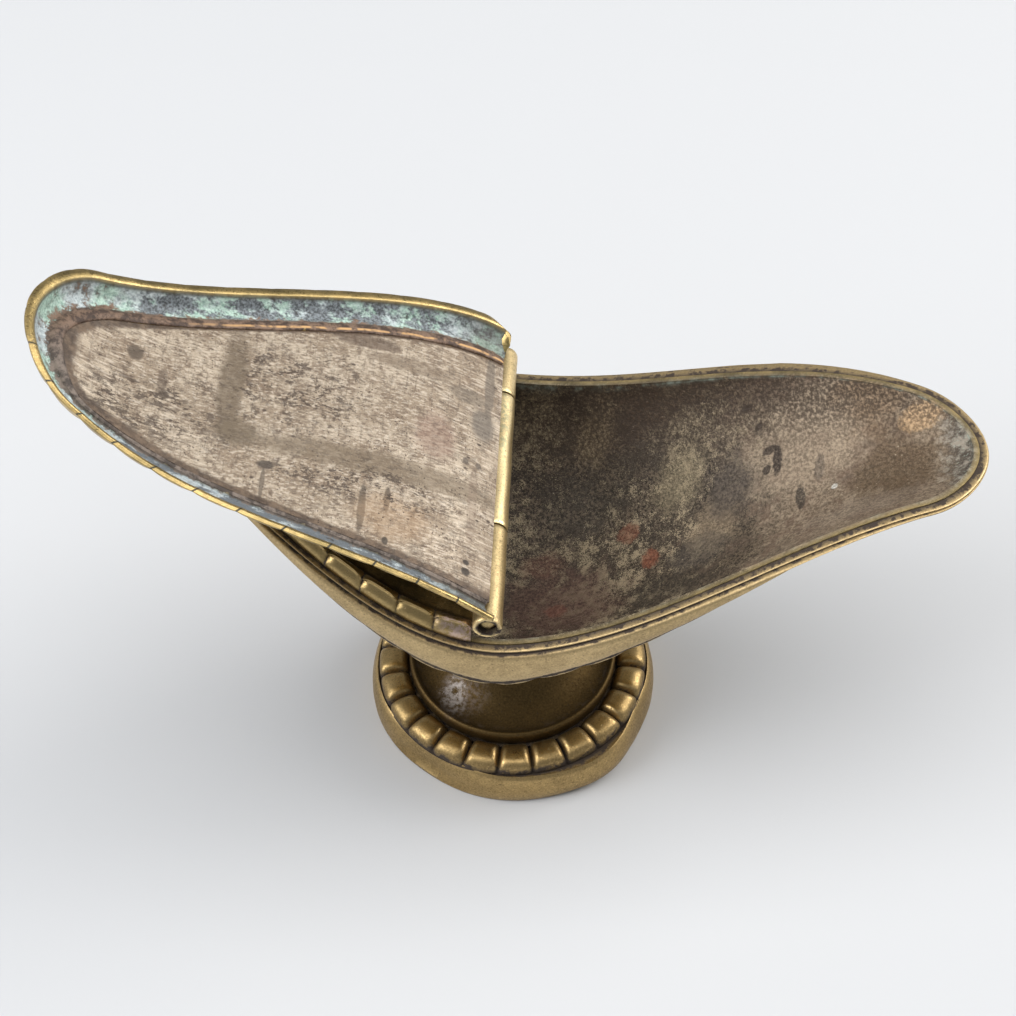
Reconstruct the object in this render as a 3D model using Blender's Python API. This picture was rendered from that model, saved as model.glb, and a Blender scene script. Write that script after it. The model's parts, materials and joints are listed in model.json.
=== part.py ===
"""Brass incense boat: a boat-shaped bowl on a round beaded foot. Half of the bowl is covered by a fixed
deck and half by a hinged lid, which is folded back over the deck here.

Metres, +Z up. The foot stands on z = 0 and the origin is halfway along the object with the lid open. +X
runs along the boat towards the half that the lid covers when it is shut, and +Y runs along the hinge
towards the back."""

import math

import bmesh
import bpy
import numpy as np

MM = 0.001

# Plan and side view of the boat, at the outer edge of the flat ledge round its top.
LID_END = 80.0 * MM     # from the foot's axis to each tip: the deck's end is the shorter one
DECK_END = 60.0 * MM
HALF_WIDTH = 31.2 * MM
LID_TAPER = 0.69        # share of the half width lost towards each tip
DECK_TAPER = 0.92
LID_TAPER_POWER = 1.53
DECK_TAPER_POWER = 1.9
TIP_START = 0.87        # where the round tip begins, as a share of the end's length
TIP_POWER = 2.4
RIM_Z = 53.5 * MM       # height of the ledge at the middle
TIP_RISE = 21.8 * MM    # how much higher the tips are
LID_RISE_RUN = 70.4 * MM    # how far out the ledge levels off
DECK_RISE_RUN = 61.6 * MM

# The boat sits askew on its foot: its -X end is turned up about Y by this angle.
LEAN = math.radians(3.2)
LEAN_PIVOT_Z = RIM_Z + 16.0 * MM
FOOT_X = -2.0 * MM      # the foot's axis, which the boat's own measures start from

# The rim's band runs out where band_share falls to this.
DECK_BAND_END = 0.22
LID_BAND_END = 0.42

# Bowl: raised sheet, an ellipse in each cross-section.
BOWL_DEPTH = 24.0 * MM
BOWL_SHEET = 1.0 * MM
BOWL_INSET = 1.5 * MM
BOWL_PROUD = 0.2 * MM   # the bowl's edge above the ledge
BOWL_AROUND = 60
BOWL_RING_ANGLES = (0, 12, 24, 36, 48, 60, 71, 81)
DEPTH_POWERS = (1.7, 0.9)
ROUND_SECTION = 0.5     # 0.5 is an ellipse, 1 is a parabola
TIP_SECTION = 1.0

GAP = 0.3 * MM          # soldered and resting faces

# Deck and lid: a lobed sheet border round a plain panel.
BORDER_WIDTH = 6.7 * MM
LID_LOBES = 26
DECK_LOBES = 20
STATIONS_PER_LOBE = 3
LOBE_NOTCH = 0.45 * MM
PANEL_LOW = 2.5 * MM    # the panel's underside above the ledge
PANEL_SHEET = 0.7 * MM
PANEL_STATIONS = 16
PANEL_GAP = 0.55 * MM   # round the panel, enough for the border's flat-sided curve at the tip
LID_OVERHANG = 1.7 * MM
DECK_INSET = 0.8 * MM

# Hinge.
HINGE_X = -1.4 * MM
HINGE_ABOVE_RIM = 5.4 * MM
OPEN_ANGLE = math.radians(142.0)    # how far the lid is turned up from shut
BARREL_R = 2.5 * MM
BORE_R = 1.6 * MM
PIN_R = 1.3 * MM
BARREL_HALF = 30.4 * MM
MIDDLE_KNUCKLE = (-10.0 * MM, 19.4 * MM)
KNUCKLE_GAP = 0.4 * MM
PIN_RECESS = 0.6 * MM
LEAF_SHEET = 0.7 * MM
LEAF_REACH = 9.0 * MM
LEAF_HALF = 24.4 * MM
BORDER_CLEAR = 2.9 * MM             # from the hinge axis to the border's end
PANEL_CLEAR = 2.15 * MM             # from the hinge axis to the panel's end

# Stem, foot and their fixing.
BEADS = 24
STATIONS_PER_BEAD = 3
BEAD_NOTCH = 1.1 * MM
STEM_AROUND = 32
STEM_TOP_Z = 27.6 * MM
STEM_ROOF_Z = 26.4 * MM             # underside of the stem's closed top
STUD_R = 2.4 * MM
STUD_DISC_R = 7.4 * MM
STUD_LOW_Z = 20.0 * MM
WASHER_R = 5.6 * MM
WASHER_THICK = 0.9 * MM
NUT_ACROSS_FLATS = 8.0 * MM
NUT_THICK = 3.6 * MM

BOWL_LOW_Z = RIM_Z - BOWL_DEPTH
HINGE_Z = RIM_Z + HINGE_ABOVE_RIM


def clear_scene():
    for obj in list(bpy.data.objects):
        bpy.data.objects.remove(obj, do_unlink=True)


def metal(name, colour, roughness, metallic=1.0):
    material = bpy.data.materials.new(name)
    material.use_nodes = True
    shader = material.node_tree.nodes["Principled BSDF"]
    shader.inputs["Base Color"].default_value = (*colour, 1.0)
    shader.inputs["Roughness"].default_value = roughness
    shader.inputs["Metallic"].default_value = metallic
    return material


def finish(name, mesh_data, material, parent=None, sharp_degrees=35):
    """A closed object from a bmesh, its faces turned outwards and its round parts shaded smooth."""
    bmesh.ops.recalc_face_normals(mesh_data, faces=mesh_data.faces[:])
    mesh = bpy.data.meshes.new(name)
    mesh_data.to_mesh(mesh)
    mesh_data.free()
    mesh.shade_smooth()
    mesh.set_sharp_from_angle(angle=math.radians(sharp_degrees))
    mesh.materials.append(material)
    obj = bpy.data.objects.new(name, mesh)
    bpy.context.scene.collection.objects.link(obj)
    obj.parent = parent
    return obj


# ---------------------------------------------------------------- the boat's outline

def tip_rounding(share):
    along = np.clip((share - TIP_START) / (1 - TIP_START), 0, 1)
    return np.sqrt(np.clip(1 - along**TIP_POWER, 0, 1))


def end_length(x):
    return np.where(np.asarray(x) < 0, DECK_END, LID_END)


def half_width(x, inset=0.0):
    """Half the boat's width at x, for an outline drawn this far inside the ledge's outer edge."""
    taper = np.where(np.asarray(x) < 0, DECK_TAPER, LID_TAPER)
    power = np.where(np.asarray(x) < 0, DECK_TAPER_POWER, LID_TAPER_POWER)
    side = HALF_WIDTH * (1 - taper * (np.abs(x) / end_length(x)) ** power) - inset
    return side * tip_rounding(np.abs(x) / (end_length(x) - inset))


def ledge_z(x):
    run = np.where(np.asarray(x) < 0, DECK_RISE_RUN, LID_RISE_RUN)
    share = np.clip(np.abs(x) / run, 0, 1)
    return RIM_Z + TIP_RISE * (1 - np.cos(math.pi * share)) / 2


def half_outline(side, inset, count, start=0.0):
    """(count, 2) plan points of the +X or -X half, evenly spaced from its front round the tip to its back."""
    end = float(end_length(side)) - inset
    turn = np.linspace(math.asin(start / end), math.pi / 2, 600)
    x = side * end * np.sin(turn)
    y = half_width(x, inset)
    dense = np.concatenate([np.stack([x, -y], 1), np.stack([x, y], 1)[-2::-1]])
    run = np.concatenate([[0], np.cumsum(np.linalg.norm(np.diff(dense, axis=0), axis=1))])
    wanted = np.linspace(0, run[-1], count)
    return np.stack([np.interp(wanted, run, dense[:, axis]) for axis in (0, 1)], 1)


def whole_outline(inset, count):
    """(count, 2) plan points round the whole boat, anticlockwise, for an even count."""
    right = half_outline(1, inset, count // 2 + 1)
    left = half_outline(-1, inset, count // 2 + 1)[::-1]
    return np.concatenate([right[:-1], left[:-1]])


def outward(plan):
    """Unit normals of a closed plan that runs anticlockwise."""
    run = np.roll(plan, -1, axis=0) - np.roll(plan, 1, axis=0)
    normals = np.column_stack([run[:, 1], -run[:, 0]])
    return normals / np.linalg.norm(normals, axis=1, keepdims=True)


# ---------------------------------------------------------------- solids

def stitch(mesh_data, sections, around_closed):
    """Joins closed cross-sections, each a list of points, into one solid. It caps the ends of an open run."""
    rings = [[mesh_data.verts.new(point) for point in section] for section in sections]
    pairs = list(zip(rings, rings[1:]))
    if around_closed:
        pairs.append((rings[-1], rings[0]))
    else:
        mesh_data.faces.new(rings[0])
        mesh_data.faces.new(rings[-1])
    size = len(rings[0])
    for one, two in pairs:
        for k in range(size):
            following = (k + 1) % size
            mesh_data.faces.new((one[k], one[following], two[following], two[k]))


def lofted(name, sections, material, around_closed=False, parent=None, sharp_degrees=35):
    mesh_data = bmesh.new()
    stitch(mesh_data, sections, around_closed)
    return finish(name, mesh_data, material, parent, sharp_degrees)


def turned(name, profile, around, material, parent=None, swell=None):
    """A solid turned round Z from a closed (radius, height) outline. swell(turn, point) may move a point."""
    sections = []
    for step in range(around):
        turn = 2 * math.pi * step / around
        section = []
        for point in profile:
            radius, height = swell(step, point) if swell else point
            section.append((radius * math.cos(turn), radius * math.sin(turn), height))
        sections.append(section)
    return lofted(name, sections, material, around_closed=True, parent=parent)


def extruded_y(name, outline, y_low, y_high, material, parent=None):
    """A prism along Y from a closed (x, z) outline."""
    sections = [[(x, y, z) for x, z in outline] for y in (y_low, y_high)]
    return lofted(name, sections, material, parent=parent)


def circle(radius, sides, start=0.0, end=2 * math.pi):
    turns = np.linspace(start, end, sides, endpoint=end - start < 6.28)
    return [(radius * math.cos(turn), radius * math.sin(turn)) for turn in turns]


# ---------------------------------------------------------------- bowl and rim

def bowl_surface(inset, depth, angle):
    """One ring of the bowl's surface: 0 degrees is the edge, 90 is the bottom."""
    plan = whole_outline(inset, BOWL_AROUND) * math.cos(math.radians(angle))
    x, y = plan[:, 0], plan[:, 1]
    share = np.abs(x) / (end_length(x) - inset)
    along, end = DEPTH_POWERS
    drop = depth * np.clip(1 - share**along, 0, 1) ** end
    across = np.clip(np.abs(y) / np.maximum(half_width(x, inset), 1e-9), 0, 1)
    if angle == 0:
        across = np.ones_like(across)
    section = ROUND_SECTION + (TIP_SECTION - ROUND_SECTION) * np.clip(share / 0.7, 0, 1) ** 2
    z = ledge_z(x) - drop * (1 - across**2) ** section
    return np.stack([x, y, z], 1)


def make_bowl(material, boat):
    mesh_data = bmesh.new()
    skins = []
    for inset, depth in ((BOWL_INSET, BOWL_DEPTH), (BOWL_INSET + BOWL_SHEET, BOWL_DEPTH - BOWL_SHEET)):
        rings = []
        for angle in BOWL_RING_ANGLES:
            points = bowl_surface(inset, depth, angle)
            if angle == 0:
                points[:, 2] += BOWL_PROUD
            rings.append([mesh_data.verts.new(point) for point in points])
        rings.append([mesh_data.verts.new((0, 0, RIM_Z - depth))])
        skins.append(rings)
    outer, inner = skins
    for rings in skins:
        for one, two in zip(rings[:-2], rings[1:-1]):
            for k in range(BOWL_AROUND):
                following = (k + 1) % BOWL_AROUND
                mesh_data.faces.new((one[k], one[following], two[following], two[k]))
        last, pole = rings[-2], rings[-1][0]
        for k in range(BOWL_AROUND):
            mesh_data.faces.new((last[k], last[(k + 1) % BOWL_AROUND], pole))
    for k in range(BOWL_AROUND):
        following = (k + 1) % BOWL_AROUND
        mesh_data.faces.new((outer[0][k], outer[0][following], inner[0][following], inner[0][k]))
    return finish("bowl", mesh_data, material, boat)


def band_share(x):
    """1 at the middle of the boat, 0 at its tips."""
    return 1 - np.clip(np.abs(x) / end_length(x), 0, 1)


def make_rim_moulding(material, boat):
    # (offset outwards in mm, fixed drop in mm, share of the band's height); the band is the last five
    profile = (
        (-1.2, 0.0, 0.0),
        (-0.2, 0.0, 0.0),
        (0.0, 0.25, 0.0),
        (-0.15, 0.8, 0.0),
        (0.6, 1.1, 0.0),
        (1.1, 1.2, 0.2),
        (1.2, 1.2, 0.45),
        (0.8, 1.2, 0.8),
        (0.0, 1.2, 1.0),
        (-1.2, 1.2, 0.9),
    )
    around = 76
    columns = []
    for offset, drop, share in profile:
        if offset > 0:
            plan = whole_outline(0.0, around)
            out = offset * (0.25 + 0.75 * band_share(plan[:, :1])) * MM
            plan = plan + out * outward(plan)
        else:
            plan = whole_outline(-offset * MM, around)
        middle = band_share(plan[:, 0])
        run_out = np.where(plan[:, 0] < 0, DECK_BAND_END, LID_BAND_END)
        height = (0.3 + 6.9 * np.clip((middle - run_out) / (1 - run_out), 0, 1) ** 0.7) * MM
        z = ledge_z(plan[:, 0]) - drop * (0.6 + 0.4 * middle) * MM - share * height
        columns.append(np.column_stack([plan, z]))
    sections = [[column[k] for column in columns] for k in range(around)]
    return lofted("rim_moulding", sections, material, around_closed=True, parent=boat)


# ---------------------------------------------------------------- deck and lid

def border_sections(side, outer_offset, start, lobes):
    """Cross-sections of the lobed border over one half, outer face first and the hollow face after."""
    low = GAP + 0.05 * MM
    # (offset outwards, height, how far the notches between lobes cut in)
    profile = (
        (outer_offset, low, 0.0),
        (outer_offset - 0.15 * MM, 1.7 * MM, 0.5),
        (outer_offset - 1.5 * MM, 3.4 * MM, 1.0),
        (-2.6 * MM, 4.3 * MM, 1.0),
        (-4.8 * MM, 4.1 * MM, 0.7),
        (-BORDER_WIDTH, PANEL_LOW + 0.9 * MM, 0.0),
        (-BORDER_WIDTH, PANEL_LOW, 0.0),
        (-4.8 * MM, 3.15 * MM, 0.0),
        (-2.8 * MM, 3.3 * MM, 0.0),
        (outer_offset - 2.1 * MM, 2.6 * MM, 0.0),
        (outer_offset - 0.9 * MM, low, 0.0),
    )
    count = lobes * STATIONS_PER_LOBE + 1
    phase = np.arange(count) / STATIONS_PER_LOBE
    notch = LOBE_NOTCH * (1 - np.abs(np.sin(math.pi * phase)))
    columns = []
    for offset, height, cut in profile:
        plan = half_outline(side, -offset, count, start)
        z = ledge_z(plan[:, 0]) + height - cut * notch
        columns.append(np.column_stack([plan, z]))
    return np.stack(columns, 1)


def panel_sections(side, start):
    """Cross-sections of the plain panel inside the border, from the hinge to the tip of one half."""
    inset = BORDER_WIDTH + PANEL_GAP
    end = float(end_length(side)) - inset - 0.15 * MM
    turns = np.linspace(0, math.pi / 2, PANEL_STATIONS)
    sections = []
    for x in side * (start + (end - start) * np.sin(turns)):
        y = half_width(x, inset)
        z = ledge_z(x) + PANEL_LOW
        top = z + PANEL_SHEET
        sections.append([(x, -y, z), (x, y, z), (x, y, top), (x, -y, top)])
    return np.array(sections)


def about_hinge(sections):
    return np.asarray(sections) - (HINGE_X, 0, HINGE_Z)


def leaf_run(level, side):
    """The far part of a leaf's (x, z) outline, which follows the panel out from the hinge and comes back."""
    run = [2.6 * MM, 5.8 * MM, LEAF_REACH]
    near_face = [(x, level + ledge_z(HINGE_X + side * x) - RIM_Z) for x in run]
    far_face = [(x, z + LEAF_SHEET) for x, z in reversed(near_face)]
    return [(side * x, z) for x, z in near_face + far_face]


def make_knuckle(name, y_low, y_high, leaf_outline, leaf_low, leaf_high, material, parent=None):
    """A barrel round the hinge axis with a leaf, both in coordinates about that axis."""
    mesh_data = bmesh.new()
    rings = [
        [(x, y, z) for x, z in circle(radius, 24)]
        for radius, y in ((BARREL_R, y_low), (BARREL_R, y_high), (BORE_R, y_high), (BORE_R, y_low))
    ]
    stitch(mesh_data, rings, around_closed=True)
    knuckle = finish(name, mesh_data, material, parent)
    leaf = extruded_y(name + "_leaf_cutter", leaf_outline, leaf_low, leaf_high, material, parent)
    leaf.hide_render = True
    leaf.display_type = "WIRE"
    union = knuckle.modifiers.new("leaf", "BOOLEAN")
    union.operation = "UNION"
    union.object = leaf
    return knuckle, leaf


def make_deck(border_metal, panel_metal, knuckle_metal, boat):
    border = border_sections(-1, -DECK_INSET, BORDER_CLEAR - HINGE_X, DECK_LOBES)
    lofted("deck_border", border, border_metal, parent=boat)
    lofted("deck_panel", panel_sections(-1, PANEL_CLEAR - HINGE_X), panel_metal, parent=boat)
    under = -HINGE_ABOVE_RIM + PANEL_LOW - GAP - LEAF_SHEET
    root = [(-1.65 * MM, -1.75 * MM), (1.0 * MM, -1.9 * MM), (0.2 * MM, under)]
    leaf_outline = root + leaf_run(under, -1) + [(-1.85 * MM, under + LEAF_SHEET)]
    y_low, y_high = MIDDLE_KNUCKLE
    parts = make_knuckle(
        "deck_knuckle", y_low, y_high, leaf_outline, y_low + 0.4 * MM, y_high - 0.4 * MM,
        knuckle_metal, boat,
    )
    for obj in parts:
        obj.location = (HINGE_X, 0, HINGE_Z)


def make_lid(border_metal, panel_metal, knuckle_metal, pin_metal, boat):
    hinge = bpy.data.objects.new("lid_hinge", None)
    bpy.context.scene.collection.objects.link(hinge)
    hinge.parent = boat
    hinge.location = (HINGE_X, 0, HINGE_Z)
    hinge.rotation_euler = (0, -OPEN_ANGLE, 0)
    border = border_sections(1, LID_OVERHANG, BORDER_CLEAR + HINGE_X, LID_LOBES)
    lofted("lid_border", about_hinge(border), border_metal, parent=hinge)
    panel = panel_sections(1, PANEL_CLEAR + HINGE_X)
    lofted("lid_panel", about_hinge(panel), panel_metal, parent=hinge)
    over = -HINGE_ABOVE_RIM + PANEL_LOW + PANEL_SHEET + GAP
    root = [(2.1 * MM, over + LEAF_SHEET), (1.9 * MM, -0.3 * MM), (1.75 * MM, over)]
    leaf_outline = root + leaf_run(over, 1)
    front_end, rear_start = MIDDLE_KNUCKLE[0] - KNUCKLE_GAP, MIDDLE_KNUCKLE[1] + KNUCKLE_GAP
    make_knuckle(
        "lid_knuckle_front", -BARREL_HALF, front_end, leaf_outline, -LEAF_HALF, front_end - 0.4 * MM,
        knuckle_metal, hinge,
    )
    make_knuckle(
        "lid_knuckle_rear", rear_start, BARREL_HALF, leaf_outline, rear_start + 0.4 * MM, LEAF_HALF,
        knuckle_metal, hinge,
    )
    end, chamfer = BARREL_HALF - PIN_RECESS, 0.3 * MM
    rounds = ((PIN_R - chamfer, -end), (PIN_R, -end + chamfer), (PIN_R, end - chamfer), (PIN_R - chamfer, end))
    pin_rings = [[(x, y, z) for x, z in circle(radius, 16)] for radius, y in rounds]
    lofted("hinge_pin", pin_rings, pin_metal, parent=hinge)


# ---------------------------------------------------------------- stem, foot and fixing

def make_foot(material):
    # (radius, height, share of the bead notch) in mm, up the outside, over the beads and back inside
    profile = (
        (26.0, 0.0, 0.0),
        (26.7, 0.9, 0.0),
        (26.8, 3.2, 0.0),
        (26.3, 5.6, 0.0),
        (25.6, 6.9, 0.0),
        (25.1, 6.7, 0.0),
        (24.7, 8.3, 0.6),
        (23.6, 9.6, 1.0),
        (21.7, 9.7, 1.0),
        (20.5, 8.6, 0.6),
        (20.1, 7.5, 0.0),
        (17.9, 7.5, 0.0),
        (17.9, 6.3, 0.0),
        (23.0, 5.5, 0.0),
        (24.6, 3.4, 0.0),
        (24.6, 0.0, 0.0),
    )
    share_of = {(radius * MM, height * MM): share for radius, height, share in profile}

    def beads(step, point):
        radius, height = point
        between = 1 - abs(math.sin(math.pi * step / STATIONS_PER_BEAD))
        return radius, height - share_of[point] * between * BEAD_NOTCH

    outline = [(radius * MM, height * MM) for radius, height, _ in profile]
    return turned("foot", outline, BEADS * STATIONS_PER_BEAD, material, swell=beads)


def make_stem(material):
    outer = (
        (19.1, 7.8), (19.4, 9.0), (19.4, 10.6), (18.7, 11.1), (18.1, 10.3), (16.2, 10.3),
        (13.4, 11.6), (11.0, 14.3), (9.4, 18.0), (8.7, 22.0), (8.8, 25.8), (9.6, STEM_TOP_Z / MM),
    )
    inner = (
        (2.9, STEM_TOP_Z / MM), (2.9, STEM_ROOF_Z / MM), (7.6, STEM_ROOF_Z / MM), (7.6, 22.0),
        (8.3, 17.7), (9.8, 13.5), (12.4, 10.6), (15.7, 9.1), (17.4, 8.7), (17.4, 7.8),
    )
    outline = [(radius * MM, height * MM) for radius, height in outer + inner]
    return turned("stem", outline, STEM_AROUND, material)


def make_fixing(material):
    disc_low = STEM_TOP_Z + GAP
    bottom_z = LEAN_PIVOT_Z - (LEAN_PIVOT_Z - BOWL_LOW_Z) / math.cos(LEAN)
    stud = (
        (STUD_R - 0.4 * MM, STUD_LOW_Z),
        (STUD_R, STUD_LOW_Z + 0.4 * MM),
        (STUD_R, disc_low),
        (STUD_DISC_R, disc_low),
        (STUD_DISC_R, bottom_z - GAP),
    )
    sections = [[(x, y, height) for x, y in circle(radius, 24)] for radius, height in stud]
    sections[-1] = [(x, y, height - x * math.tan(LEAN)) for x, y, height in sections[-1]]
    fixing_stud = lofted("fixing_stud", sections, material)
    washer_high = STEM_ROOF_Z - GAP
    washer_low = washer_high - WASHER_THICK
    hole = STUD_R + GAP
    washer = ((hole, washer_low), (WASHER_R, washer_low), (WASHER_R, washer_high), (hole, washer_high))
    washer = turned("washer", washer, 24, material)
    nut_high = washer_low - GAP
    nut_low = nut_high - NUT_THICK
    corner = NUT_ACROSS_FLATS / 2 / math.cos(math.pi / 6)

    def hexagon(step, point):
        radius, height = point
        if radius <= hole:
            return radius, height
        from_corner = (2 * math.pi * step / 24) % (math.pi / 3) - math.pi / 6
        return NUT_ACROSS_FLATS / 2 / math.cos(from_corner), height

    nut = ((hole, nut_low), (corner, nut_low), (corner, nut_high), (hole, nut_high))
    nut = turned("nut", nut, 24, material, swell=hexagon)
    return fixing_stud, washer, nut


def main():
    clear_scene()
    bpy.context.scene.unit_settings.system = "METRIC"
    outside = metal("brass_outside", (0.36, 0.26, 0.12), 0.38)
    bright = metal("brass_bright", (0.55, 0.40, 0.17), 0.3)
    inside = metal("bowl_patina", (0.16, 0.12, 0.09), 0.6, 0.6)
    plate = metal("tinned_plate", (0.55, 0.48, 0.40), 0.5, 0.7)
    boat = bpy.data.objects.new("boat_axes", None)
    bpy.context.scene.collection.objects.link(boat)
    boat.rotation_euler = (0, LEAN, 0)
    boat.location = (FOOT_X - LEAN_PIVOT_Z * math.sin(LEAN), 0, LEAN_PIVOT_Z * (1 - math.cos(LEAN)))
    make_bowl(inside, boat)
    make_rim_moulding(outside, boat)
    make_deck(outside, plate, bright, boat)
    make_lid(bright, plate, outside, bright, boat)
    for obj in (make_foot(outside), make_stem(outside), *make_fixing(outside)):
        obj.location.x = FOOT_X


main()
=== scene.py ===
"""Looks for the brass incense boat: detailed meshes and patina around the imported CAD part."""

import functools
import itertools
import json
import math

import bmesh
import bpy
import numpy as np
from mathutils import Matrix, Vector


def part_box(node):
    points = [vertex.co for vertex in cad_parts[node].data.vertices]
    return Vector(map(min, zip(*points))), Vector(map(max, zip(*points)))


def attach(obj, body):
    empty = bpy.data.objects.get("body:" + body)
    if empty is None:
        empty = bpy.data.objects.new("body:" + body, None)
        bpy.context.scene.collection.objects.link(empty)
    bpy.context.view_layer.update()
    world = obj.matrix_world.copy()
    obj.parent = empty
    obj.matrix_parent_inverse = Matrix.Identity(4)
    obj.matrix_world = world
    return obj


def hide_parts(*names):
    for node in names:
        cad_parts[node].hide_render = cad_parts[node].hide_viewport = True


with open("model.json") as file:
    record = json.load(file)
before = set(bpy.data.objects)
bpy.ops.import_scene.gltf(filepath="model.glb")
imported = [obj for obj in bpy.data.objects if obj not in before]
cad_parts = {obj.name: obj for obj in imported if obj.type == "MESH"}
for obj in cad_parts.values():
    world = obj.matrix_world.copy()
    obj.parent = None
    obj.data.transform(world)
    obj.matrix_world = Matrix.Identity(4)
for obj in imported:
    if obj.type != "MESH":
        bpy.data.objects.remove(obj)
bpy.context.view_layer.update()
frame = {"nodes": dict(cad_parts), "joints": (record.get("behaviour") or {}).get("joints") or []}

MM = 0.001

# The boat in its own axes, in mm, as the CAD part has it.
LID_END, DECK_END = 80, 60
HALF_WIDTH = 31.2
LID_TAPER, DECK_TAPER = 0.69, 0.92
LID_TAPER_POWER, DECK_TAPER_POWER = 1.53, 1.9
TIP_START, TIP_POWER = 0.87, 2.4
RIM_Z, TIP_RISE = 53.5, 21.8
LID_RISE_RUN, DECK_RISE_RUN = 70.4, 61.6
LEAN = math.radians(3.2)
HINGE = Vector((-1.4, 0, RIM_Z + 5.4))
BOWL_DEPTH, BOWL_SHEET, BOWL_INSET, BOWL_PROUD = 24, 1, 1.5, 0.2
BOWL_ALONG, BOWL_END = 1.7, 0.9  # how the bowl's depth runs out towards the tips
LOBE_PITCH = 7.4  # of the hull's lobes, along the rim
LID_LOBES, DECK_LOBES = 26, 20
BORDER_WIDTH = 6.7
PANEL_LOW, PANEL_SHEET = 2.5, 0.7
FRONT_SHARE = 0.32  # how wide the border's inner part is along the front
FRONT_END, FRONT_BLEND = 0.52, 0.12  # where along a half outline the front ends
CORNER_SHARE, CORNER_DEPTH = 0.035, 5.2  # the lid's rounded rear corner
BORDER_CLEAR, PANEL_CLEAR = 2.62, 2.15
LID_OVERHANG, DECK_INSET = 1.7, 0.8
DECK_BAND_END, LID_BAND_END = 0.22, 0.42
BARREL_R, BORE_R, PIN_R, BARREL_HALF = 2.5, 1.6, 1.3, 30.4
KNUCKLE_ENDS, KNUCKLE_GAP = (-10, 19.4), 0.4
LEAF_HALF, LEAF_SHEET = 24.4, 0.7
BEADS = 24
# (degrees round the foot, share of the radius pushed in, half width in degrees)
FOOT_DENTS = (
    (-126, 0.062, 20), (-52, -0.05, 20), (-22, 0.022, 12), (-88, -0.008, 12), (62, 0.02, 24),
)

joint = frame["joints"][0]
hinge_at = Vector(joint["pos_m"])
open_angle = math.radians(joint["range_deg"][1])
stem_low, stem_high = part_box("stem")
foot_x = (stem_low.x + stem_high.x) / 2
foot_low, foot_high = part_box("foot")


def metres(matrix):
    return matrix @ Matrix.Diagonal((MM, MM, MM, 1))


BOAT = metres(
    Matrix.Translation(hinge_at) @ Matrix.Rotation(LEAN, 4, "Y") @ Matrix.Translation(-HINGE * MM)
)
LID = metres(
    Matrix.Translation(hinge_at)
    @ Matrix.Rotation(LEAN - open_angle, 4, "Y")
    @ Matrix.Translation(-HINGE * MM)
)
FOOT = metres(Matrix.Translation((foot_x, 0, foot_low.z)))


# ---------------------------------------------------------------- the boat's outline, in mm

def ramp(value, start, run):
    """0 up to start, and rising to 1 over this run."""
    return np.clip((value - start) / run, 0, 1)


def end_length(x):
    return np.where(np.asarray(x) < 0, DECK_END, LID_END)


def half_width(x, inset=0):
    taper = np.where(np.asarray(x) < 0, DECK_TAPER, LID_TAPER)
    power = np.where(np.asarray(x) < 0, DECK_TAPER_POWER, LID_TAPER_POWER)
    side = HALF_WIDTH * (1 - taper * (np.abs(x) / end_length(x)) ** power) - inset
    along = ramp(np.abs(x) / (end_length(x) - inset), TIP_START, 1 - TIP_START)
    return side * np.sqrt(np.clip(1 - along**TIP_POWER, 0, 1))


def ledge_z(x):
    share = np.clip(np.abs(x) / np.where(np.asarray(x) < 0, DECK_RISE_RUN, LID_RISE_RUN), 0, 1)
    return RIM_Z + TIP_RISE * (1 - np.cos(math.pi * share)) / 2


def half_outline(side, inset, count, start=0):
    """(count, 2) plan points of one half, evenly spaced from its front round to its back."""
    end = float(end_length(side)) - inset
    turn = np.linspace(math.asin(start / end), math.pi / 2, 1500)
    x = side * end * np.sin(turn)
    y = half_width(x, inset)
    dense = np.concatenate([np.stack([x, -y], 1), np.stack([x, y], 1)[-2::-1]])
    run = np.concatenate([[0], np.cumsum(np.linalg.norm(np.diff(dense, axis=0), axis=1))])
    wanted = np.linspace(0, run[-1], count)
    return np.stack([np.interp(wanted, run, dense[:, axis]) for axis in (0, 1)], 1)


def whole_outline(inset, count):
    right = half_outline(1, inset, count // 2 + 1)
    left = half_outline(-1, inset, count // 2 + 1)[::-1]
    return np.concatenate([right[:-1], left[:-1]])


def front_share(along):
    """1 along the front of a half outline, 0 round its tip and along its back."""
    share = ramp(FRONT_END - along, 0, FRONT_BLEND)
    return share * share * (3 - 2 * share)


def outward(plan):
    """Unit normals of a closed outline, away from its middle."""
    run = np.roll(plan, -1, axis=0) - np.roll(plan, 1, axis=0)
    normals = np.column_stack([run[:, 1], -run[:, 0]])
    return normals / np.linalg.norm(normals, axis=1, keepdims=True)


def arc_length(plan):
    """The distance of each point along a closed outline, and its whole length."""
    steps = np.linalg.norm(np.roll(plan, -1, axis=0) - plan, axis=1)
    return np.concatenate([[0], np.cumsum(steps[:-1])]), steps.sum()


# ---------------------------------------------------------------- meshes

def wobble(x, y, size, seed=0):
    """A smooth, repeatable unevenness of about +-1 with features of this size in mm."""
    total = 0
    for k, (a, b) in enumerate(((1, 0.37), (-0.63, 0.91), (0.29, -1.17), (1.31, 0.83))):
        total = total + np.sin((a * x + b * y) / size * 2.1 + seed * (k + 1) + 1.7 * k)
    return total / 4


def link(obj):
    bpy.context.scene.collection.objects.link(obj)


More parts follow.
